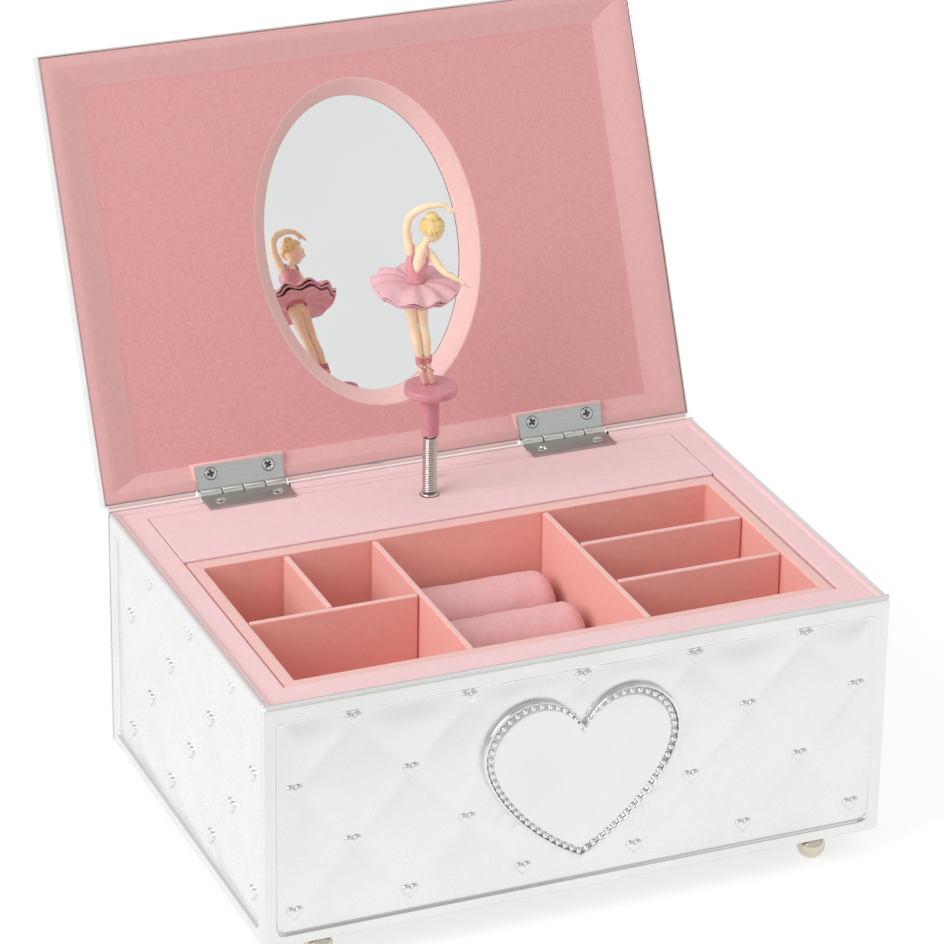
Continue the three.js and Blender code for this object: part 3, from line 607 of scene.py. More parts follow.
HEART_MIDDLE = 36.0
HEART_SPAN = 26.0


def bezier(p0, p1, p2, p3, count):
    t = np.linspace(0, 1, count, endpoint=False)[:, None]
    p0, p1, p2, p3 = (np.array(p, float) for p in (p0, p1, p2, p3))
    return (1 - t) ** 3 * p0 + 3 * (1 - t) ** 2 * t * p1 + 3 * (1 - t) * t ** 2 * p2 + t ** 3 * p3


def heart_outline(count=40):
    right = np.concatenate([
        bezier((0, 49), (3.5, 55.5), (8, 58.9), (14.2, 58.9), count),
        bezier((14.2, 58.9), (21.5, 58.9), (28.7, 52.5), (28.7, 43.8), count),
        bezier((28.7, 43.8), (28.7, 33.5), (15.5, 17.5), (0, 9.4), count)])
    left = right[1:][::-1] * (-1, 1)
    return np.concatenate([right, [(0, 9.4)], left])[::-1]


HEART = heart_outline()


def inset_heart(inset):
    return (HEART - (0, HEART_MIDDLE)) * (1 - inset / HEART_SPAN) + (0, HEART_MIDDLE)


def heart_clearance(u, v):
    """Distance outside the heart, negative within it; a rough measure that is right near the outline."""
    u, v = np.asarray(u, float), np.asarray(v, float)
    across, up = u.reshape(-1, 1), v.reshape(-1, 1)
    near = np.sqrt((across - HEART[::4, 0]) ** 2 + (up - HEART[::4, 1]) ** 2).min(1)
    x, y = HEART.T
    x2, y2 = np.roll(HEART, -1, 0).T
    slope = (x2 - x) / np.where(y2 == y, 1e-9, y2 - y)
    crossing = ((y > up) != (y2 > up)) & (across < slope * (up - y) + x)
    out = np.where(crossing.sum(1) % 2 == 1, -near, near).reshape(u.shape)
    return out if u.shape else float(out)


def heart_ring(inset, height):
    flat = inset_heart(inset)
    return np.column_stack([flat, np.full(len(flat), height)])


BEAD_INSET = 2.05
BEAD_COUNT = 68


def add_heart(place):
    """A rolled rim, a slightly domed plaque with a channel round it, and beads in the channel."""
    low = FIELD + 0.05
    profile = [(0.3, low), (0.26, -0.3), (0.3, 0.15), (0.44, 0.4), (0.68, 0.53), (0.95, 0.48), (1.12, 0.3),
               (1.2, 0.0), (1.2, low)]
    rim = Build().loft([heart_ring(i, h) for i, h in profile], cap_low=False, cap_high=False)
    rim.piece("heart_border", SILVER_TRIM, "root", "polished_plaque", ["heart_rim"], place)
    dome = [(1.3, low), (1.3, -0.2), (1.45, -0.05), (2.8, -0.02), (3.05, 0.2), (3.4, 0.31), (3.9, 0.35)]
    for t in (0.02, 0.1, 0.22, 0.36, 0.52, 0.68, 0.84, 0.985):
        dome.append((4 + (HEART_SPAN - 4) * t, 0.35 + 0.12 * (1 - (1 - t) ** 2)))
    plate = Build().loft([heart_ring(i, h) for i, h in dome])
    plaque = plate.piece("heart_plaque", SILVER_PLAQUE, "root", "polished_plaque", ["heart_plate"], place)
    # Painted shade: the channel round the plaque, under the beads, gets the darker silver.
    paint(plaque, SILVER_CHANNEL_SHADE, place, lambda u, v, n: n < 0.12)
    track = inset_heart(BEAD_INSET)
    ahead = np.roll(track, -1, 0) - track
    step = np.linalg.norm(ahead, axis=1)
    run = np.concatenate([[0], np.cumsum(step)])
    beads = Build()
    for k in range(BEAD_COUNT):
        s = run[-1] * (k + 0.5) / BEAD_COUNT
        i = int(np.searchsorted(run, s)) - 1
        at = track[i] + ahead[i] * (s - run[i]) / max(step[i], 1e-9)
        beads.ball((*at, 0.05), (0.8, 0.8, 0.72))
    beads.piece("heart_beads", SILVER_BEAD, "root", "polished_plaque", (), place)


# ---------- case ----------

front_place = frame_of((0, -HALF_Y, BASE_Z), (1, 0, 0), (0, 0, 1))
back_place = frame_of((0, HALF_Y, BASE_Z), (-1, 0, 0), (0, 0, 1))
left_place = frame_of((-HALF_X, 0, BASE_Z), (0, -1, 0), (0, 0, 1))
right_place = frame_of((HALF_X, 0, BASE_Z), (0, 1, 0), (0, 0, 1))

leaf_lo, leaf_hi = box("hinge_base_leaf_left")
leaf_half = (leaf_hi[0] - leaf_lo[0]) / 2
notch = 0.5 + leaf_half
hinge_xs = [middle("hinge_base_leaf_left")[0], middle("hinge_base_leaf_right")[0]]


def notches_at(y0, y1, z0, z1):
    """Boxes that make room for the two hinges."""
    return [((x - notch, y0, z0), (x + notch, y1, z1)) for x in hinge_xs]


# A quilt's grid is one heart's place across and up, then half a diamond across and up.
WIDE_GRID = (0, 63.0, 16.1, 18.0)
LEFT_GRID = (2.8, 63.6, 16.15, 17.6)
RIGHT_GRID = (-2.8, 63.6, 16.15, 17.6)

back_notches = notches_at(HALF_Y - 3, HALF_Y + 2, HINGE[2] - 1.7, HINGE[2] + 5)
quilted_panel("case_front", "front_panel", 2 * HALF_X, front_place, WIDE_GRID, keep_flat=heart_clearance)
quilted_panel("case_back", "back_panel", 2 * HALF_X, back_place, WIDE_GRID, notches=back_notches)
quilted_panel("case_left", "left_panel", SIDE_WIDTH, left_place, LEFT_GRID)
quilted_panel("case_right", "right_panel", SIDE_WIDTH, right_place, RIGHT_GRID)
add_heart(front_place)


def add_feet():
    ball, centre, flat = 3.9, 3.78, 1.2
    turn = np.linspace(math.asin(flat / ball), 2.64, 26)
    arc = [(ball * math.sin(t), centre - ball * math.cos(t)) for t in turn[1:]]
    neck = [(1.9, 8.6), (1.9, 10.1), (2.35, 10.15), (2.6, 10.35), (2.6, 11.0), (1.0, 11.0)]
    for corner in ("front_left", "front_right", "rear_left", "rear_right"):
        node = f"foot_{corner}"
        top = box(node)[1][2]
        profile = [(0.02, 0.0), (flat, 0.0), *arc, *neck, (1.0, top), (0.02, top)]
        foot = Build().lathe(profile, (*middle(node)[:2], 0))
        foot.piece(f"case_foot_{corner}", FOOT_METAL, "root", "foot_metal", [node])


add_feet()
dress("bottom_plate", BOARD)
dress("bottom_felt", FELT)
dress("carcass", BOARD)
dress("liner_frame", DECK_FLOCK, 0.35)
dress("deck_panel", DECK_FLOCK, 0.35)


def dress_tray(node, bevel_mm):
    """Tray walls, with paler flock painted along the top edge as a highlight where the light catches it."""
    obj = dress(node, TRAY_FLOCK, bevel_mm, 4)
    top = box(node)[1][2]
    # Painted highlight: the top faces of the walls get the paler flock.
    paint(obj, TRAY_TOP_HIGHLIGHT_FLOCK, Matrix.Identity(4), lambda x, y, z: z > top - 0.05)


dress_tray("tray", 0.7)


def add_rim_strip():
    """The flocked edging between the liner frame and the sheet metal's lip."""
    top, rings = BASE_Z + HEIGHT, []
    profile = [(2.5, 2.3, DECK_Z - 0.6), (1.4, 0.5, top - 1.2), (1.35, 0.45, top - 0.3),
               (1.45, 0.6, top - 0.08), (1.75, 1.0, top - 0.02), (2.15, 1.6, top - 0.14),
               (2.5, 2.3, top - 0.55), (2.9, 2.9, DECK_Z + 0.03), (3.1, 3.1, DECK_Z - 0.1)]
    for inset, back, z in profile:
        x, y0, y1 = HALF_X - inset, -HALF_Y + inset, HALF_Y - back
        rings.append([(-x, y0, z), (x, y0, z), (x, y1, z), (-x, y1, z)])
    strip = Build().add(np.concatenate(rings), grid_faces(len(rings), 4, wrap_u=True, wrap_v=True))
    strip = strip.piece("rim_edging", DECK_FLOCK, "root", "deck_flock")
    cut_boxes(strip, notches_at(HALF_Y - 9, HALF_Y + 1, HINGE[2] - 1.2, HINGE[2] + 3))
    mend(strip)
    smooth_by_angle(strip, 50)


add_rim_strip()
for divider in ("left_long", "left_cross", "left_short",
                "right_long", "right_cross_rear", "right_cross_front"):
    dress_tray(f"divider_{divider}", 0.55)


ROLL_END = 5.6
ROLL_SHORTER = 1.9


def add_ring_rolls():
    """Firm foam rolls under a stretched velvet cover, with a seam and puckers at the ends."""
    for k, name in enumerate(("rear", "middle", "front")):
        node = f"ring_roll_{name}"
        lo, hi = box(node)
        centre = (lo + hi) / 2
        half, radius = (hi[0] - lo[0]) / 2 - ROLL_SHORTER, (hi[2] - lo[2]) / 2
        tip = ROLL_END * (1 - np.cos(np.linspace(0, np.pi / 2, 14)))
        straight = np.linspace(ROLL_END + 1 - half, half - ROLL_END - 1, 44)
        along = np.concatenate([tip - half, straight, half - tip[::-1]])
        turn = np.linspace(0, 2 * np.pi, 96, endpoint=False)
        x, t = np.meshgrid(along, turn, indexing="ij")
        end = np.clip((half - np.abs(x)) / ROLL_END, 0, 1)
        dome = (1 - (1 - end) ** 2.3) ** (1 / 2.3)
        wave = 0.1 * np.sin(x * 0.31 + k * 2.1 + np.cos(t * 2)) + 0.07 * np.sin(x * 0.83 + 3 * t + k)
        wave = wave + 0.05 * np.sin(7 * t + 0.4 * x)
        pucker = 0.16 * np.sin(18 * t + k) * np.clip(1 - end, 0, 1) ** 0.7 * dome
        seam = -0.5 * np.exp(-((np.angle(np.exp(1j * (t + np.pi / 2)))) / 0.07) ** 2)
        pressed = -0.12 * (np.cos(t - np.pi / 2) < -0.8)
        r = (radius - 0.18 + wave * 0.8 + seam + pressed) * np.maximum(dome, 0.03) + pucker
        verts = np.stack([x, r * np.cos(t), r * np.sin(t)], 2).reshape(-1, 3) + centre
        made = Build().add(verts, grid_faces(len(along), 96, wrap_v=True))
        obj = made.piece(f"ring_cushion_{name}", ROLL_VELVET, "root", "roll_velvet", [node])
        mend(obj)


add_ring_rolls()


# ---------- hinges ----------

def add_barrels(side, x):
    """Four knuckles, by turns the base leaf's and the lid leaf's."""
    pitch = (leaf_half + 0.1) / 2
    half = pitch / 2 - 0.14
    profile = [(0.6, -half), (1.22, -half), (1.42, 0.16 - half), (1.46, 0.4 - half), (1.46, half - 0.4),
               (1.42, half - 0.16), (1.22, half), (0.6, half)]
    for k in range(4):
        centre = (x + (k - 1.5) * pitch, HINGE[1], HINGE[2])
        # The knuckles are in the lighter knuckle steel, a painted highlight.
        barrel = Build().lathe(profile, centre, 40, "x").piece(
            f"hinge_barrel_{side}_{k + 1}", KNUCKLE_STEEL_LIT, ("root", "lid")[k % 2], "hinge_steel")
        smooth_by_angle(barrel, 40)


for side, middle_x in zip(("left", "right"), hinge_xs):
    dress(f"hinge_base_leaf_{side}", STEEL_SHADED, 0.12, 2)
    dress(f"hinge_lid_leaf_{side}", STEEL, 0.12, 2)
    dress(f"hinge_pin_{side}", STEEL, 0.1, 2)
    add_barrels(side, middle_x)


def cross_recess(x, y):
    """1 in the cross, 0 outside it."""
    x, y = np.abs(x), np.abs(y)

    def bar(across, along):
        return smoothstep(0.36, 0.24, across) * smoothstep(1.1, 0.95, along)

    return np.maximum(bar(x, y), bar(y, x))


def screw(name, node, top, normal, tilt, body):
    """A cross-recessed countersunk head with a low dome, which clears the other leaf's when shut."""
    radii = np.array([0.02, 0.12, 0.2, 0.26, 0.32, 0.4, 0.55, 0.7, 0.82,
                      0.92, 1.0, 1.15, 1.3, 1.42, 1.5, 1.55])
    turn = np.linspace(0, 2 * np.pi, 96, endpoint=False)
    r, t = np.meshgrid(radii, turn, indexing="ij")
    x, y = r * np.cos(t), r * np.sin(t)
    z = 0.17 * np.sqrt(np.maximum(1 - (r / 1.62) ** 2, 0)) - 0.6 * cross_recess(x, y)
    z = np.where(r > 1.52, -0.02, z)
    rings = list(np.stack([x, y, z], 2))
    for radius, depth in ((1.55, -0.15), (0.7, -0.75), (0.7, -3.0), (0.1, -3.3)):
        rings.append(np.stack([radius * np.cos(turn), radius * np.sin(turn), np.full(96, depth)], 1))
    upright = Vector(normal).to_track_quat("Z", "Y").to_matrix().to_4x4()
    place = Matrix.Translation(Vector(top)) @ upright @ Matrix.Rotation(tilt, 4, "Z")
    made = Build().loft([ring * (1.08, 1.08, 1) for ring in rings], flip=True)
    made = made.piece(name, SCREW_STEEL, body, "screw_steel", [node], place)
    # Painted shade: the cross recess gets the dark steel.
    paint(made, RECESS_SHADE_STEEL, place, lambda x, y, z: (cross_recess(x, y) > 0.45) & (z > -0.6))


lid_normal = LID_FRAME.to_3x3() @ Vector((0, 0, -1))
for i, (base_tilt, lid_tilt) in enumerate(((0.3, 0.2), (1.1, 0.9), (0.65, 0.5), (0.1, 0.15)), 1):
    lo, hi = box(f"base_screw_{i}")
    head = (*((lo + hi) / 2)[:2], hi[2])
    screw(f"base_screw_head_{i}", f"base_screw_{i}", head, (0, 0, 1), base_tilt, "root")
    lo, hi = lid_box(f"lid_screw_{i}")
    head = LID_FRAME @ Vector((*((lo + hi) / 2)[:2], lo[2]))
    screw(f"lid_screw_head_{i}", f"lid_screw_{i}", head, lid_normal, lid_tilt, "lid")


# ---------- lid ----------

LID_LIP = 0.5


LID_MIDDLE = (LID_FRONT + LID_BACK) / 2
LID_BORDER = 14.0


def lid_surface():
    """The lid's outside as a grid of points, the size of that grid, and its hearts' places."""
    us = lines(-HALF_X, HALF_X, 1.3, [-HALF_X + LID_BORDER, HALF_X - LID_BORDER])
    vs = lines(-HALF_Y, HALF_Y, 1.3, [-HALF_Y + LID_BORDER, HALF_Y - LID_BORDER])
    u, v = np.meshgrid(us, vs, indexing="ij")
    d = np.minimum(HALF_X - np.abs(u), HALF_Y - np.abs(v))
    z = smin(5.55 + LID_RIM - 0.55 + 0.443 * d, LID_RIM + 11.0 + 0.06 * (d - LID_BORDER), 1.2)
    z = z - 0.6 * (1 - np.sqrt(np.clip(1 - (np.clip(0.8 - d, 0, 0.8) / 0.8) ** 2, 0, 1)))
    a, b = WIDE_GRID[2:]
    hearts = quilt_points(HALF_X - 15, -HALF_Y + 15, HALF_Y - 15, 0, 0, a, b)
    inner = smoothstep(14.2, 18.0, d)
    z = z - 0.55 * smoothstep(13.8, 14.6, d) + 0.62 * quilt_height(u, v, 0, 0, a, b, hearts) * inner
    return np.stack([u, v + LID_MIDDLE, z], 2).reshape(-1, 3), (len(us), len(vs)), hearts


def add_lid_shell():
    """The lid's outside, modelled shut: an upright rim, a sloped border and a quilted top."""
    top, grid, hearts = lid_surface()
    ring, rim, count = perimeter(*grid), LID_RIM, len(top)
    faces, verts = grid_faces(*grid), [top]
    steps = [(0, 4.4), (0, 0.4), (0.05, 0.14), (0.16, 0),
             (LID_LIP - 0.14, 0), (LID_LIP, 0.14), (LID_LIP, 4.2),
             (14.5, 9.9)]
    edge, m, start = top[ring][:, :2] - (0, LID_MIDDLE), len(ring), ring
    for inset, rise in steps:
        shrink = np.array([(HALF_X - inset) / HALF_X, (HALF_Y - inset) / HALF_Y])
        verts.append(np.column_stack([edge * shrink + (0, LID_MIDDLE), np.full(m, rim + rise)]))
        fresh = list(range(count, count + m))
        faces += [(start[k], fresh[k], fresh[(k + 1) % m], start[(k + 1) % m]) for k in range(m)]
        start, count = fresh, count + m
    faces.append(tuple(reversed(start)))
    shell = Build().add(np.concatenate(verts), faces)
    obj = shell.piece("lid_cover", SILVER_FIELD, "lid", "silver_plate", ["lid_shell"], LID_FRAME)
    cut_boxes(obj, notches_at(LID_BACK - LID_LIP - 0.3, LID_BACK + 1, -1, 1.6), LID_FRAME)
    paint(obj, SILVER_TRIM, LID_FRAME,
          lambda x, y, z: np.minimum(HALF_X - abs(x), HALF_Y - abs(y - LID_MIDDLE)) < 13.9)
    smooth_by_angle(obj, 40)
    buttons = Build()
    for u, v in hearts:
        slope = 0.06 * (min(HALF_X - abs(u), HALF_Y - abs(v)) - LID_BORDER)
        add_button(buttons, u, v + LID_MIDDLE, LID_RIM + 10.5 + slope, LID_HEART)
    buttons.piece("lid_hearts", SILVER_TRIM, "lid", "silver_plate", (), LID_FRAME)


add_lid_shell()


def add_back_hem():
    """The sheet's rolled edge along the lid's back rim, stopping short of the hinges."""
    y, z, gap = LID_BACK, LID_RIM, notch + 0.4
    outline = [(y + 0.1, z + 2.6), (y - 0.3, z + 2.4), (y - 0.3, z + 0.05), (y, z), (y + 0.7, z + 0.03),
               (y + 0.84, z + 0.16), (y + 0.88, z + 0.36), (y + 0.7, z + 0.8)]
    ends = [1 - HALF_X, hinge_xs[0] - gap, hinge_xs[0] + gap,
            hinge_xs[1] - gap, hinge_xs[1] + gap, HALF_X - 1]
    build = Build()
    for start, end in zip(ends[::2], ends[1::2]):
        build.loft([[(x, *at) for at in outline] for x in (start, end)], flip=True)
    hem = build.piece("lid_back_hem", SILVER_TRIM, "lid", "silver_plate", (), LID_FRAME)
    # Painted highlight: pale flock on the hem's inner underside, for the light line along the lid's back
    # edge.
    paint(hem, LID_EDGE_HIGHLIGHT_FLOCK, LID_FRAME, lambda x, y, z: (z < LID_RIM + 0.1) & (y < LID_BACK + 0.6))
    smooth_by_angle(hem, 40)


add_back_hem()

OVAL = np.array([29.0, 42.0])
OVAL_BEVEL = np.array([33.3, 46.2])
mirror_lo, mirror_hi = lid_box("mirror")
OVAL_Y = float((mirror_lo[1] + mirror_hi[1]) / 2)
MIRROR_Z = float(mirror_lo[2])
PANEL_Z = LID_RIM + 2.8
SIDE_COUNT = 44


def rect_ring(x, y0, y1, z):
    """Points round a rectangle, a fixed number to each side, from its first corner."""
    corners = np.array([(-x, y0), (x, y0), (x, y1), (-x, y1)], float)
    points = []
    for p, q in zip(corners, np.roll(corners, -1, 0)):
        points += [p + (q - p) * f for f in np.linspace(0, 1, SIDE_COUNT, endpoint=False)]
    return np.column_stack([np.array(points), np.full(4 * SIDE_COUNT, z)])


def panel_ring(inset, z):
    """A ring inside the outline of the lining's flat panel."""
    return rect_ring(77.2 - inset, -116.6 + inset, -8.3 - inset, z)


def oval_ring(size, z):
    """An oval with its points on the same rays as the panel's outline."""
    panel = panel_ring(0, 0)
    ray = (panel[:, :2] - (0, OVAL_Y)) / size
    flat = ray * size / np.hypot(*ray.T)[:, None] + (0, OVAL_Y)
    return np.column_stack([flat, np.full(len(panel), z)])


def lining_rings():
    """Rings from the mirror out over the oval's bevel, the panel, the sloped border and the lid's edge."""
    reach, flat, low, z = LID_LIP + 0.05, 2.65, LID_RIM + 0.2, PANEL_Z
    x, y0, y1, deep = HALF_X - reach, LID_FRONT + reach, LID_BACK - reach, MIRROR_Z - 0.25
    bevel = [(OVAL + t * (OVAL_BEVEL - OVAL), deep + t * (z - deep)) for t in (0, 0.12, 0.4, 0.7, 0.88)]
    lip = ((-0.12, 0.3), (0.12, 0.1), (0.45, 0.02), (1.0, 0.0))
    oval = [oval_ring(*step) for step in bevel]
    oval += [oval_ring(OVAL_BEVEL + grow, z + drop) for grow, drop in lip]
    inner, outer = panel_ring(0, z), rect_ring(x - flat, y0 + flat, y1 - flat, z)
    panel = [oval[-1] + (inner - oval[-1]) * t for t in (0.25, 0.5, 0.75)]
    panel += [panel_ring(inset, z - fall) for inset, fall in ((1.6, 0.0), (0.5, 0.02))]
    border = []
    slope = ((0, 0.03), (0.06, 0.08), (0.3, 0.33), (0.5, 0.53), (0.7, 0.74), (0.92, 0.96), (1.0, 0.995))
    for t, fall in slope:
        ring = inner + (outer - inner) * t
        ring[:, 2] = z + (low - z) * fall
        border.append(ring)
    for inset, rise in ((flat - 0.9, 0.0), (0.75, 0.0), (0.4, 0.04), (0.14, 0.16), (0.0, 0.4), (0.0, 3.4)):
        border.append(rect_ring(x - inset, y0 + inset, y1 - inset, low + rise))
    return oval, panel, border


def add_lid_liner():
    oval, panel, border = lining_rings()
    rings, n = oval + panel + border, 4 * SIDE_COUNT
    lining = Build().add(np.concatenate(rings), grid_faces(len(rings), n, wrap_v=True))
    obj = lining.piece("lid_lining", LID_FLOCK, "lid", "lid_flock", ["lid_liner"], LID_FRAME)
    # Painted highlight: the paler edge flock, for the oval's bevel round the mirror.
    obj.data.materials.append(LID_EDGE_HIGHLIGHT_FLOCK)
    # Painted light: the paler bevel flock, for the sloped border.
    obj.data.materials.append(LID_BEVEL_LIT_FLOCK)
    finishes = [1] * (len(oval) - 2) + [0] * (len(panel) + 2) + [2] * (len(border) - 1)
    obj.data.polygons.foreach_set("material_index", np.repeat(finishes, n).astype(np.int32))
    smooth_by_angle(obj, 14)
    rings = [oval_ring((OVAL + 2.3) * k, MIRROR_Z) for k in (0.02, 0.5, 1.0)]
    rings += [oval_ring(OVAL + 2.5, MIRROR_Z + 0.1), oval_ring(OVAL + 2.6, MIRROR_Z + 1.4)]
    glass = Build().loft(rings, flip=True)
    glass.piece("lid_mirror", MIRROR, "lid", "mirror_glass", ["mirror"], LID_FRAME, smooth=False)


add_lid_liner()


def add_hinge_pads():
    """Flocked pads that fill the lining's slope behind the lid leaves."""
    half, rim = notch + 0.3, LID_RIM
    rows = [(-8.75, rim + 2.9), (-8.7, rim + 0.55), (-8.4, rim + 0.26), (-2.0, rim + 0.22), (-1.8, rim + 0.5)]
    for side, x in zip(("left", "right"), hinge_xs):
        rings = []
        for y, z in rows:
            left = [(x - half, y, rim + 3.2), (x - half, y, z + 0.22), (x - half + 0.25, y, z)]
            right = [(x + half - 0.25, y, z), (x + half, y, z + 0.22), (x + half, y, rim + 3.2)]
            rings.append(left + right)
        pad = Build().loft(rings, flip=True)
        # Painted highlight: the pads are in the paler edge flock.
        pad = pad.piece(f"hinge_pad_{side}", LID_EDGE_HIGHLIGHT_FLOCK, "lid", "lid_flock", (), LID_FRAME)
        smooth_by_angle(pad, 40)


add_hinge_pads()


# ---------- spring and pedestal ----------

def add_spring():
    """A close-wound coil round a steel core, both running from the deck to the pedestal."""
    low, high = box("dancer_spring")[0][2], box("dancer_spring")[1][2]
    wire, outer, pitch = 0.25, 2.05, 0.54
    turns = (high - low - 2 * wire) / pitch
    t = np.linspace(0, 1, int(turns * 30) + 1)
    angle = 2 * np.pi * turns * t
    radius = (outer - wire) + 0.28 * np.clip(1 - t * turns / 1.6, 0, 1)
    path = np.stack([SPINDLE[0] + radius * np.cos(angle), SPINDLE[1] + radius * np.sin(angle),
                     low + wire + (high - low - 2 * wire) * t], 1)
    coil = Build().tube(path, wire, 8)
    coil = coil.piece("dancer_coil", SPRING_STEEL, None, "spring_steel", ["dancer_spring"])
    profile = [(1.15, z) for z in np.linspace(low + 0.6, high - 0.4, 40)]
    profile = [(0.02, low + 0.2), (1.15, low + 0.2), *profile, (1.15, high), (0.02, high)]
    core = Build().lathe(profile, (*SPINDLE, 0), 24)
    core = core.piece("dancer_coil_core", SCREW_STEEL, None, "spring_steel")
    for part in (coil, core):
        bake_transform(part)
    z = DECK_Z
    seat = [(1.55, z + 0.02), (2.55, z + 0.02), (2.62, z + 0.12), (2.55, z + 0.5), (2.3, z + 0.62),
            (1.75, z + 0.62), (1.6, z + 0.5)]
    Build().lathe(seat, (*SPINDLE, 0), 48).piece("spring_seat", SPRING_STEEL, "root", "spring_steel")


add_spring()

FIGURE_TURN = math.radians(-22.4)
FIGURE = Matrix.Translation(Vector((*SPINDLE, DECK_Z))) @ Matrix.Rotation(FIGURE_TURN, 4, "Z")


def add_pedestal():
    lo, hi = box("pedestal")
    low, top = lo[2], hi[2]
    profile = [(0.02, low), (2.2, low), (2.42, low + 0.1), (2.5, low + 0.35), (2.5, top - 3.0),
               (2.62, top - 2.6), (2.95, top - 2.38), (3.4, top - 2.3), (6.9, top - 2.3), (7.2, top - 2.22),
               (7.36, top - 2.02), (7.4, top - 1.8), (7.4, top - 0.4), (7.36, top - 0.2), (7.26, top - 0.06),
               (7.1, top), (3.2, top), (0.02, top)]
    disc = Build().lathe(profile, (*SPINDLE, 0), 128)
    disc.piece("pedestal_disc", PEDESTAL, "dancer", "pedestal_plastic", ["pedestal"])
    loops = Build()
    turn = np.linspace(0, 2 * np.pi, 40, endpoint=False)
    for x, y in ((-1.75, -0.2), (0.55, 0.25)):
        path = [x + 1.45 * np.cos(turn), y + 1.2 * np.sin(turn), np.full(40, top - DECK_Z + 0.02)]
        loops.tube(np.stack(path, 1), 0.17, 8, True)
    loops.piece("pedestal_loops", BODICE, "dancer", "pedestal_plastic", (), FIGURE)


add_pedestal()


# ---------- dancer ----------

def fused(name, limbs, material, voxel, rounds, stands_for=()):
    """Tapered round limbs, each a run of [x, y, z, radius], fused and smoothed into one skin."""
    bm = bmesh.new()
    for limb in limbs:
        for here, there in zip(limb, limb[1:]):
            points = []
            for x, y, z, r in (here, there):
                made = bmesh.ops.create_uvsphere(bm, u_segments=18, v_segments=12, radius=r)
                bmesh.ops.translate(bm, verts=made["verts"], vec=(x, y, z))
                points += made["verts"]
            hull = bmesh.ops.convex_hull(bm, input=points)
            gone = [e for e in hull["geom_interior"] if isinstance(e, bmesh.types.BMVert)]
            bmesh.ops.delete(bm, geom=gone, context="VERTS")
    mesh = bpy.data.meshes.new(name)
    bm.to_mesh(mesh)
    bm.free()
    obj = bpy.data.objects.new(name, mesh)
    scene.collection.objects.link(obj)
    remesh = obj.modifiers.new("fuse", "REMESH")
    remesh.mode, remesh.voxel_size = "VOXEL", voxel
    soften = obj.modifiers.new("soften", "SMOOTH")
    soften.factor, soften.iterations = 0.5, rounds
    apply_modifiers(obj)
    obj.data.transform(Matrix.Diagonal((MM, MM, MM, 1)) @ FIGURE)
    obj.data.materials.clear()
    obj.data.materials.append(material)
    obj.data.shade_smooth()
    if stands_for:
        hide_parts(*stands_for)
    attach(obj, "dancer")


def moulded(build, name, material):
    """A separate moulded piece of the figure."""
    return build.piece(name, material, "dancer", "figure_plastic", (), FIGURE)


TOE = box("pedestal")[1][2] - DECK_Z + 0.15


def add_body():
    left_leg = [(-1.75, -0.2, TOE + 0.75, 0.62), (-2.15, -0.25, TOE + 2.6, 0.85), (-2.85, -0.35, 39.0, 0.9),
                (-3.15, -0.3, 41.8, 0.95), (-3.95, -0.6, 46.2, 1.45), (-4.75, -0.25, 50.4, 1.3),
                (-5.45, -0.15, 54.0, 1.6), (-6.05, 0, 59.5, 1.9)]
    right_leg = [(0.45, 0.25, TOE + 0.75, 0.62), (0.0, 0.2, TOE + 2.6, 0.85), (-0.85, 0.15, 39.0, 0.9),
                 (-1.1, 0.2, 41.8, 0.95), (-1.35, 0.0, 46.2, 1.4), (-2.05, 0.1, 50.4, 1.25),
                 (-2.45, 0.1, 54.0, 1.55), (-2.8, 0, 59.5, 1.9)]
    torso = [(-4.6, 0, 60.4, 2.5), (-4.6, 0, 63.4, 2.2), (-4.4, 0, 65.4, 2.15), (-4.2, 0, 68.4, 2.5),
             (-3.7, 0, 71.0, 2.65), (-3.3, 0.1, 72.6, 2.2), (-2.3, 0.2, 74.4, 1.2), (-1.4, 0.25, 76.2, 1.15)]
    shoulders = [(-5.9, 0, 72.7, 1.45), (-3.4, 0, 73.2, 1.6), (-1.1, 0, 72.6, 1.4)]
    raised = [(-5.9, 0, 72.7, 1.45), (-6.6, 0, 75.8, 1.3), (-7.1, 0, 79.2, 1.15), (-6.5, 0, 82.6, 1.1),
              (-4.3, 0, 84.9, 1.1), (-0.8, 0, 86.3, 0.95), (2.2, 0, 86.6, 0.78), (3.5, 0, 86.2, 0.72)]
    raised_hand = [(3.5, 0, 86.2, 0.72), (5.2, 0.05, 85.2, 0.56), (6.5, 0.1, 84.0, 0.36)]
    raised_thumb = [(3.8, -0.1, 86.0, 0.45), (4.8, -0.5, 84.4, 0.28)]
    low = [(-1.1, 0, 72.6, 1.4), (0.5, -0.7, 71.0, 1.25), (2.1, -1.6, 69.0, 1.08), (3.7, -2.4, 67.6, 0.96),
           (6.1, -2.9, 66.4, 0.8), (7.8, -3.2, 65.5, 0.58)]
    low_hand = [(7.8, -3.2, 65.5, 0.58), (9.0, -3.35, 64.7, 0.46), (10.0, -3.4, 64.1, 0.3)]
    low_thumb = [(8.0, -3.5, 65.4, 0.4), (8.8, -4.0, 65.1, 0.24)]
    limbs = [torso, shoulders, raised, raised_hand, raised_thumb, low, low_hand, low_thumb]
    fused("dancer_figure", limbs, SKIN, 0.24, 5, ["dancer_body"])
    fused("dancer_leg_left", [left_leg], SKIN, 0.2, 5)
    fused("dancer_leg_right", [right_leg], SKIN, 0.2, 5)


HEAD = Vector((0.15, 0.35, 79.0))
FACING = Vector((0.72, 0.58, -0.38)).normalized()
FACE_SIDE = FACING.cross(Vector((0.25, 0, 1))).normalized()
FACE_UP = FACE_SIDE.cross(FACING)


def on_head(forward, side, up):
    p = HEAD + FACING * forward + FACE_SIDE * side + FACE_UP * up
    return p.x, p.y, p.z


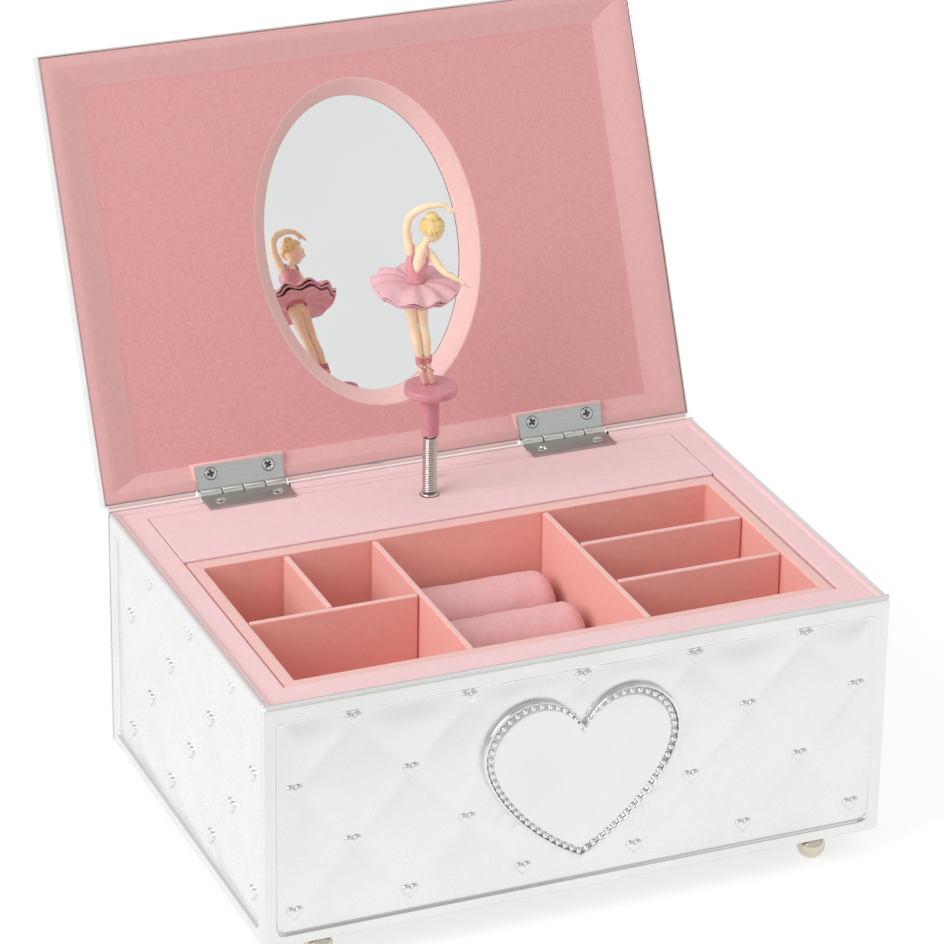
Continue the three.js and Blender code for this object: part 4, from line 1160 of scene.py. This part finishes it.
def add_head():
    """A small calm doll's face, turned away and down."""
    skull = [(*on_head(-0.3, 0, 0.5), 2.9), (*on_head(0.3, 0, -0.1), 2.8)]
    jaw = [(*on_head(0.5, 0, -0.6), 2.4), (*on_head(1.25, 0, -2.2), 1.2)]
    nose = [(*on_head(2.9, 0, 0.15), 0.3), (*on_head(3.3, 0, -0.45), 0.34)]
    ears = [[(*on_head(0.1, s * 2.7, -0.3), 0.42), (*on_head(0.0, s * 2.75, 0.25), 0.45)] for s in (-1, 1)]
    fused("dancer_head", [skull, jaw, nose, *ears], SKIN, 0.16, 3)
    eyes = [[(*on_head(2.74, s * 1.02, 0.12), 0.26), (*on_head(2.78, s * 0.72, 0.12), 0.26)] for s in (-1, 1)]
    brows = [[(*on_head(2.72, s * 1.35, 0.95), 0.1), (*on_head(2.92, s * 0.62, 1.08), 0.1)] for s in (-1, 1)]
    fused("dancer_eyes", eyes + brows, FEATURE, 0.09, 1)
    lips = [(*on_head(2.5, -0.4, -1.25), 0.2), (*on_head(2.62, 0, -1.3), 0.24),
            (*on_head(2.5, 0.4, -1.25), 0.2)]
    fused("dancer_lips", [lips], RIBBON, 0.09, 1)


def add_hair():
    """Hair drawn back in waves to a bun, with a band round it."""
    axis_f, axis_s, axis_u = np.array(FACING), np.array(FACE_SIDE), np.array(FACE_UP)
    centre = np.array(HEAD) + axis_f * -0.45 + axis_u * 0.55
    tilt = np.linspace(-np.pi / 2, np.pi / 2, 61)[1:-1]
    e, t = np.meshgrid(tilt, np.linspace(0, 2 * np.pi, 120, endpoint=False), indexing="ij")
    forward, sideways, upward = np.cos(e) * np.cos(t), np.cos(e) * np.sin(t), np.sin(e)
    back_f, back_u = -0.5, 0.866
    toward_bun = np.clip(forward * back_f + upward * back_u, -1, 1)
    around = np.arctan2(sideways, forward * 0.66 + upward * 0.75)
    strands = 0.18 * np.sin(around * 17 + 1.6 * toward_bun) * np.clip(1 - toward_bun, 0, 1)
    face = smoothstep(0.15, 0.5, forward - 0.42 * upward) + smoothstep(-0.32, -0.62, upward - 0.15 * forward)
    r = 3.55 + strands + 0.1 * np.sin(around * 41) - 1.45 * np.clip(face, 0, 1)
    way = forward[..., None] * axis_f + sideways[..., None] * axis_s + upward[..., None] * axis_u
    build = Build().loft(list(centre + r[..., None] * way))
    bun = centre + axis_f * back_f * 3.7 + axis_u * back_u * 3.7
    out = axis_f * back_f + axis_u * back_u
    out /= np.linalg.norm(out)
    turn = np.linspace(0, 2 * np.pi, 72, endpoint=False)
    circle = np.cos(turn)[:, None] * axis_s + np.sin(turn)[:, None] * np.cross(out, axis_s)
    rings = []
    for a in np.linspace(-np.pi / 2, np.pi / 2, 30)[1:-1]:
        swirl = 1.72 + 0.12 * np.sin(5 * turn + 4 * a)
        rings.append(bun + np.cos(a) * swirl[:, None] * circle + np.sin(a) * 1.35 * out)
    moulded(build.loft(rings, flip=True), "dancer_hair", HAIR)
    moulded(Build().tube(bun - out * 0.95 + 1.72 * circle, 0.2, 8, True), "dancer_hair_band", RIBBON)


def add_bodice():
    """A close bodice with a deep V at the back, and two straps."""
    levels = np.array([(-4.6, 61.2, 3.0, 2.8), (-4.6, 62.8, 2.65, 2.5), (-4.5, 64.6, 2.4, 2.3),
                       (-4.35, 66.2, 2.45, 2.3), (-4.25, 67.8, 2.75, 2.55), (-4.05, 69.4, 3.0, 2.75),
                       (-3.8, 70.9, 3.1, 2.8), (-3.6, 72.2, 3.0, 2.7)])
    middles, heights, across, deep = levels.T
    turn = np.linspace(0, 2 * np.pi, 72, endpoint=False)
    behind = np.angle(np.exp(1j * (turn + np.pi / 2)))
    dip = 4.6 * np.exp(-(behind / 0.62) ** 2)
    outer, inner = [], []
    for k in np.linspace(0, 1, 26):
        z = heights[0] + k * (heights[-1] - dip - heights[0])
        x, rx, ry = (np.interp(z, heights, values) for values in (middles, across, deep))
        pleat = 0.04 * np.sin(turn * 14) * (1 - k)
        for rings, grow in ((outer, pleat + 0.12), (inner, -0.35)):
            rings.append(np.column_stack([x + (rx + grow) * np.cos(turn), (ry + grow) * np.sin(turn), z]))
    build = Build().loft(outer + inner[::-1], cap_low=False, cap_high=False)
    build.tube([(-4.5 + 2.6 * math.cos(a), 2.5 * math.sin(a), 64.5) for a in turn], 0.2, 8, True)
    for x0, x1 in ((-5.8, -5.3), (-1.95, -1.45)):
        build.tube([(x0, -2.2, 70.4), (x0 + 0.05, -2.35, 71.6), (x1, -1.95, 73.2), (x1, -1.05, 74.5),
                    (x1, 0.2, 74.95), (x1, 1.5, 74.3), (x0 + 0.1, 2.3, 72.4)], 0.36, 8)
    moulded(build, "dancer_bodice", BODICE)


def add_tutu():
    """Ruffled layers with scalloped hems, each a thin closed shell."""
    turn = np.linspace(0, 2 * np.pi, 264, endpoint=False)
    waist, waves, drop = 2.3, 11, 1.9
    layers = ((11.9, 64.2, 0.7, 0.4), (11.5, 63.2, 0.5, 0.8), (10.6, 62.3, 0.5, 1.2))
    build = Build()
    for layer, (reach, rise, thick, phase) in enumerate(layers):
        flute = np.sin(waves * turn + phase + 0.35 * np.sin(2 * turn) + 0.2 * np.sin(5 * turn))
        top, under = [], []
        for s in np.linspace(0, 1, 24):
            uneven = (0.025 * flute + 0.015 * np.sin(3 * turn + phase)) * s ** 2
            r = (waist + (reach - waist) * s) * (1 + uneven)
            ruffle = (0.7 - 0.15 * layer) * s ** 1.1 * flute
            slant = 0.05 * r * np.sin(turn) - 0.045 * r * np.cos(turn)
            z = rise + 1.0 * math.sin(s * 2.3) - drop * s ** 2.4 + ruffle + slant
            ring = np.column_stack([-4.5 + r * np.cos(turn), r * np.sin(turn), z])
            top.append(ring)
            under.append(ring - (0, 0, thick * (1 - 0.3 * s)))
        build.loft(under[::-1] + top, cap_low=False, cap_high=False, flip=True)
        build.tube(top[-1] - (0, 0, thick * 0.35), thick * 0.52, 10, True)
    tutu = build.piece("dancer_tutu", TUTU, "dancer", "skirt_plastic", ["dancer_skirt"], FIGURE)
    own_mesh(tutu)


def add_shoes():
    left = [(-1.75, -0.2, TOE + 0.55, 0.66), (-2.1, -0.25, TOE + 2.4, 0.93), (-2.55, -0.32, TOE + 4.0, 1.02)]
    right = [(0.45, 0.25, TOE + 0.55, 0.66), (0.05, 0.2, TOE + 2.4, 0.93), (-0.6, 0.18, TOE + 4.0, 1.02)]
    fused("dancer_shoes", [left, right], SHOE, 0.16, 3)
    ribbons, turn = Build(), np.linspace(0, 2 * np.pi, 36, endpoint=False)
    for ankle, foot in (((-2.95, -0.3), (-2.3, -0.28)), ((-1.15, 0.18), (-0.35, 0.2))):
        ankle, foot = np.array(ankle), np.array(foot)
        for z, r in ((40.3, 1.16), (41.0, 1.14), (41.7, 1.16)):
            path = [ankle[0] + r * np.cos(turn), ankle[1] + r * np.sin(turn), z + 0.2 * np.sin(2 * turn)]
            ribbons.tube(np.stack(path, 1), 0.3, 8, True)
        for start in (0, np.pi):
            spiral = []
            for k in np.linspace(0, 1, 16):
                a = start + k * np.pi
                x, y = ankle + (foot - ankle) * k
                spiral.append((x + 1.12 * math.cos(a), y + 1.12 * math.sin(a), 40.3 - 3.0 * k))
            ribbons.tube(spiral, 0.22, 8)
    moulded(ribbons, "dancer_ribbons", RIBBON)


add_body()
add_head()
add_hair()
add_bodice()
add_tutu()
add_shoes()


# ---------- movement ----------

dress("movement_bedplate", ZINC, 0.25, 2)
dress("mainspring_housing", ZINC, 0.25, 2)
dress("governor_frame", ZINC, 0.2, 2)
dress("winding_key", STEEL, 0.2, 2)
for node in ("mainspring", "comb", "output_spindle"):
    dress(node, SPRING_STEEL)
for node in ("drive_gear", "cylinder", "train_wheel", "governor_fan", "spindle_bush"):
    dress(node, BRASS)


def add_tune_pins():
    """Short pins on the cylinder, a few for each tooth of the comb, none where a tooth would rest."""
    lo, hi = box("comb")
    axis = np.array(joint("cylinder_spin")["pos_m"]) / MM * (0, 1, 1)
    pins = Build()
    for x in np.linspace(lo[0] + 0.5, hi[0] - 0.5, 18):
        for a in rng.uniform(0, 2 * np.pi, 6):
            if abs(math.cos(a) + 1) < 0.12:
                continue
            foot, way = axis + (x, 0, 0), np.array([0, math.cos(a), math.sin(a)])
            pins.tube([foot + way * 5.6, foot + way * 6.45], 0.13, 6)
    pins.piece("cylinder_pins", SPRING_STEEL, "cylinder", "spring_steel")


def add_stop_plunger():
    lo, hi = box("stop_pin")
    low, top = lo[2], hi[2]
    profile = [(0.02, low), (0.8, low), (0.8, top - 0.5), (0.68, top - 0.2), (0.4, top - 0.04), (0.02, top)]
    plunger = Build().lathe(profile, (*middle("stop_pin")[:2], 0), 32)
    plunger.piece("stop_plunger", SPRING_STEEL, "stop_pin", "movement_steel", ["stop_pin"])


add_tune_pins()
add_stop_plunger()


# ---------- floor, light and camera ----------

def add_floor():
    """A pale sweep that glows a little, less so beyond the picture's near edge."""
    f = Finish("studio_floor", (0.34, 0.34, 0.34), 0.9)
    f.tones(f.noise(3, 2), ramp((0.33, 0.33, 0.33), (0.34, 0.34, 0.34)))
    f.shader.inputs["Emission Color"].default_value = (1, 1, 1, 1)
    toward = f.node("ShaderNodeVectorMath", operation="DOT_PRODUCT")
    toward.inputs[1].default_value = (-0.388, -0.922, 0)
    f.link(f.place, toward.inputs[0])
    glow = f.remapped(toward.outputs["Value"], 0.1, 0.42, 0.74, 0.5)
    f.link(glow, f.shader.inputs["Emission Strength"])
    mesh = bpy.data.meshes.new("floor")
    mesh.from_pydata([(-8, -8, -2e-5), (8, -8, -2e-5), (8, 8, -2e-5), (-8, 8, -2e-5)], [], [(0, 1, 2, 3)])
    mesh.materials.append(f.material)
    floor = bpy.data.objects.new("floor", mesh)
    scene.collection.objects.link(floor)


def add_world():
    world = bpy.data.worlds.new("studio")
    scene.world = world
    world.use_nodes = True
    tree = world.node_tree
    background = tree.nodes["Background"]
    place = tree.nodes.new("ShaderNodeTexCoord")
    split = tree.nodes.new("ShaderNodeSeparateXYZ")
    tree.links.new(place.outputs["Generated"], split.inputs["Vector"])
    shade = tree.nodes.new("ShaderNodeValToRGB")
    stops = [(0.0, 0.9), (0.5, 0.56), (0.54, 0.6), (0.62, 0.98), (0.71, 1.0), (0.8, 0.62), (1.0, 0.56)]
    while len(shade.color_ramp.elements) < len(stops):
        shade.color_ramp.elements.new(0.5)
    for element, (at, value) in zip(shade.color_ramp.elements, stops):
        element.position, element.color = at, (value, value, value * 1.005, 1)
    lift = tree.nodes.new("ShaderNodeMapRange")
    lift.inputs["From Min"].default_value, lift.inputs["From Max"].default_value = -1, 1
    tree.links.new(split.outputs["Z"], lift.inputs["Value"])
    tree.links.new(lift.outputs["Result"], shade.inputs["Fac"])
    tree.links.new(shade.outputs["Color"], background.inputs["Color"])
    background.inputs["Strength"].default_value = 0.84


def area(name, at, look, size, power):
    light = bpy.data.lights.new(name, "AREA")
    light.shape, light.size = "SQUARE", size
    light.energy = power
    obj = bpy.data.objects.new(name, light)
    obj.location = at
    obj.rotation_mode = "QUATERNION"
    obj.rotation_quaternion = (Vector(look) - Vector(at)).to_track_quat("-Z", "Y")
    scene.collection.objects.link(obj)


def add_camera():
    data = bpy.data.cameras.new("camera")
    data.sensor_width, data.lens = 36, 174.195
    data.clip_start, data.clip_end = 0.05, 60
    camera = bpy.data.objects.new("camera", data)
    turn = Matrix(((0.923105, 0.151008, -0.353657),
                   (-0.384314, 0.394272, -0.834777),
                   (0.013379, 0.906502, 0.421989)))
    place = Vector((-0.439712, -1.023147, 0.6133 + BASE_Z * MM))
    camera.matrix_world = Matrix.Translation(place) @ turn.to_4x4()
    scene.collection.objects.link(camera)
    scene.camera = camera


add_floor()
add_world()
area("key", (-1.2, -0.3, 0.98), (0, 0, 0.08), 1.1, 15)
area("fill", (0.9, -0.2, 1.1), (0, 0, 0.08), 0.8, 0.8)
area("top", (0.1, 0.1, 1.5), (0, 0, 0.1), 0.8, 1.5)
add_camera()
scene.view_settings.view_transform = "Standard"
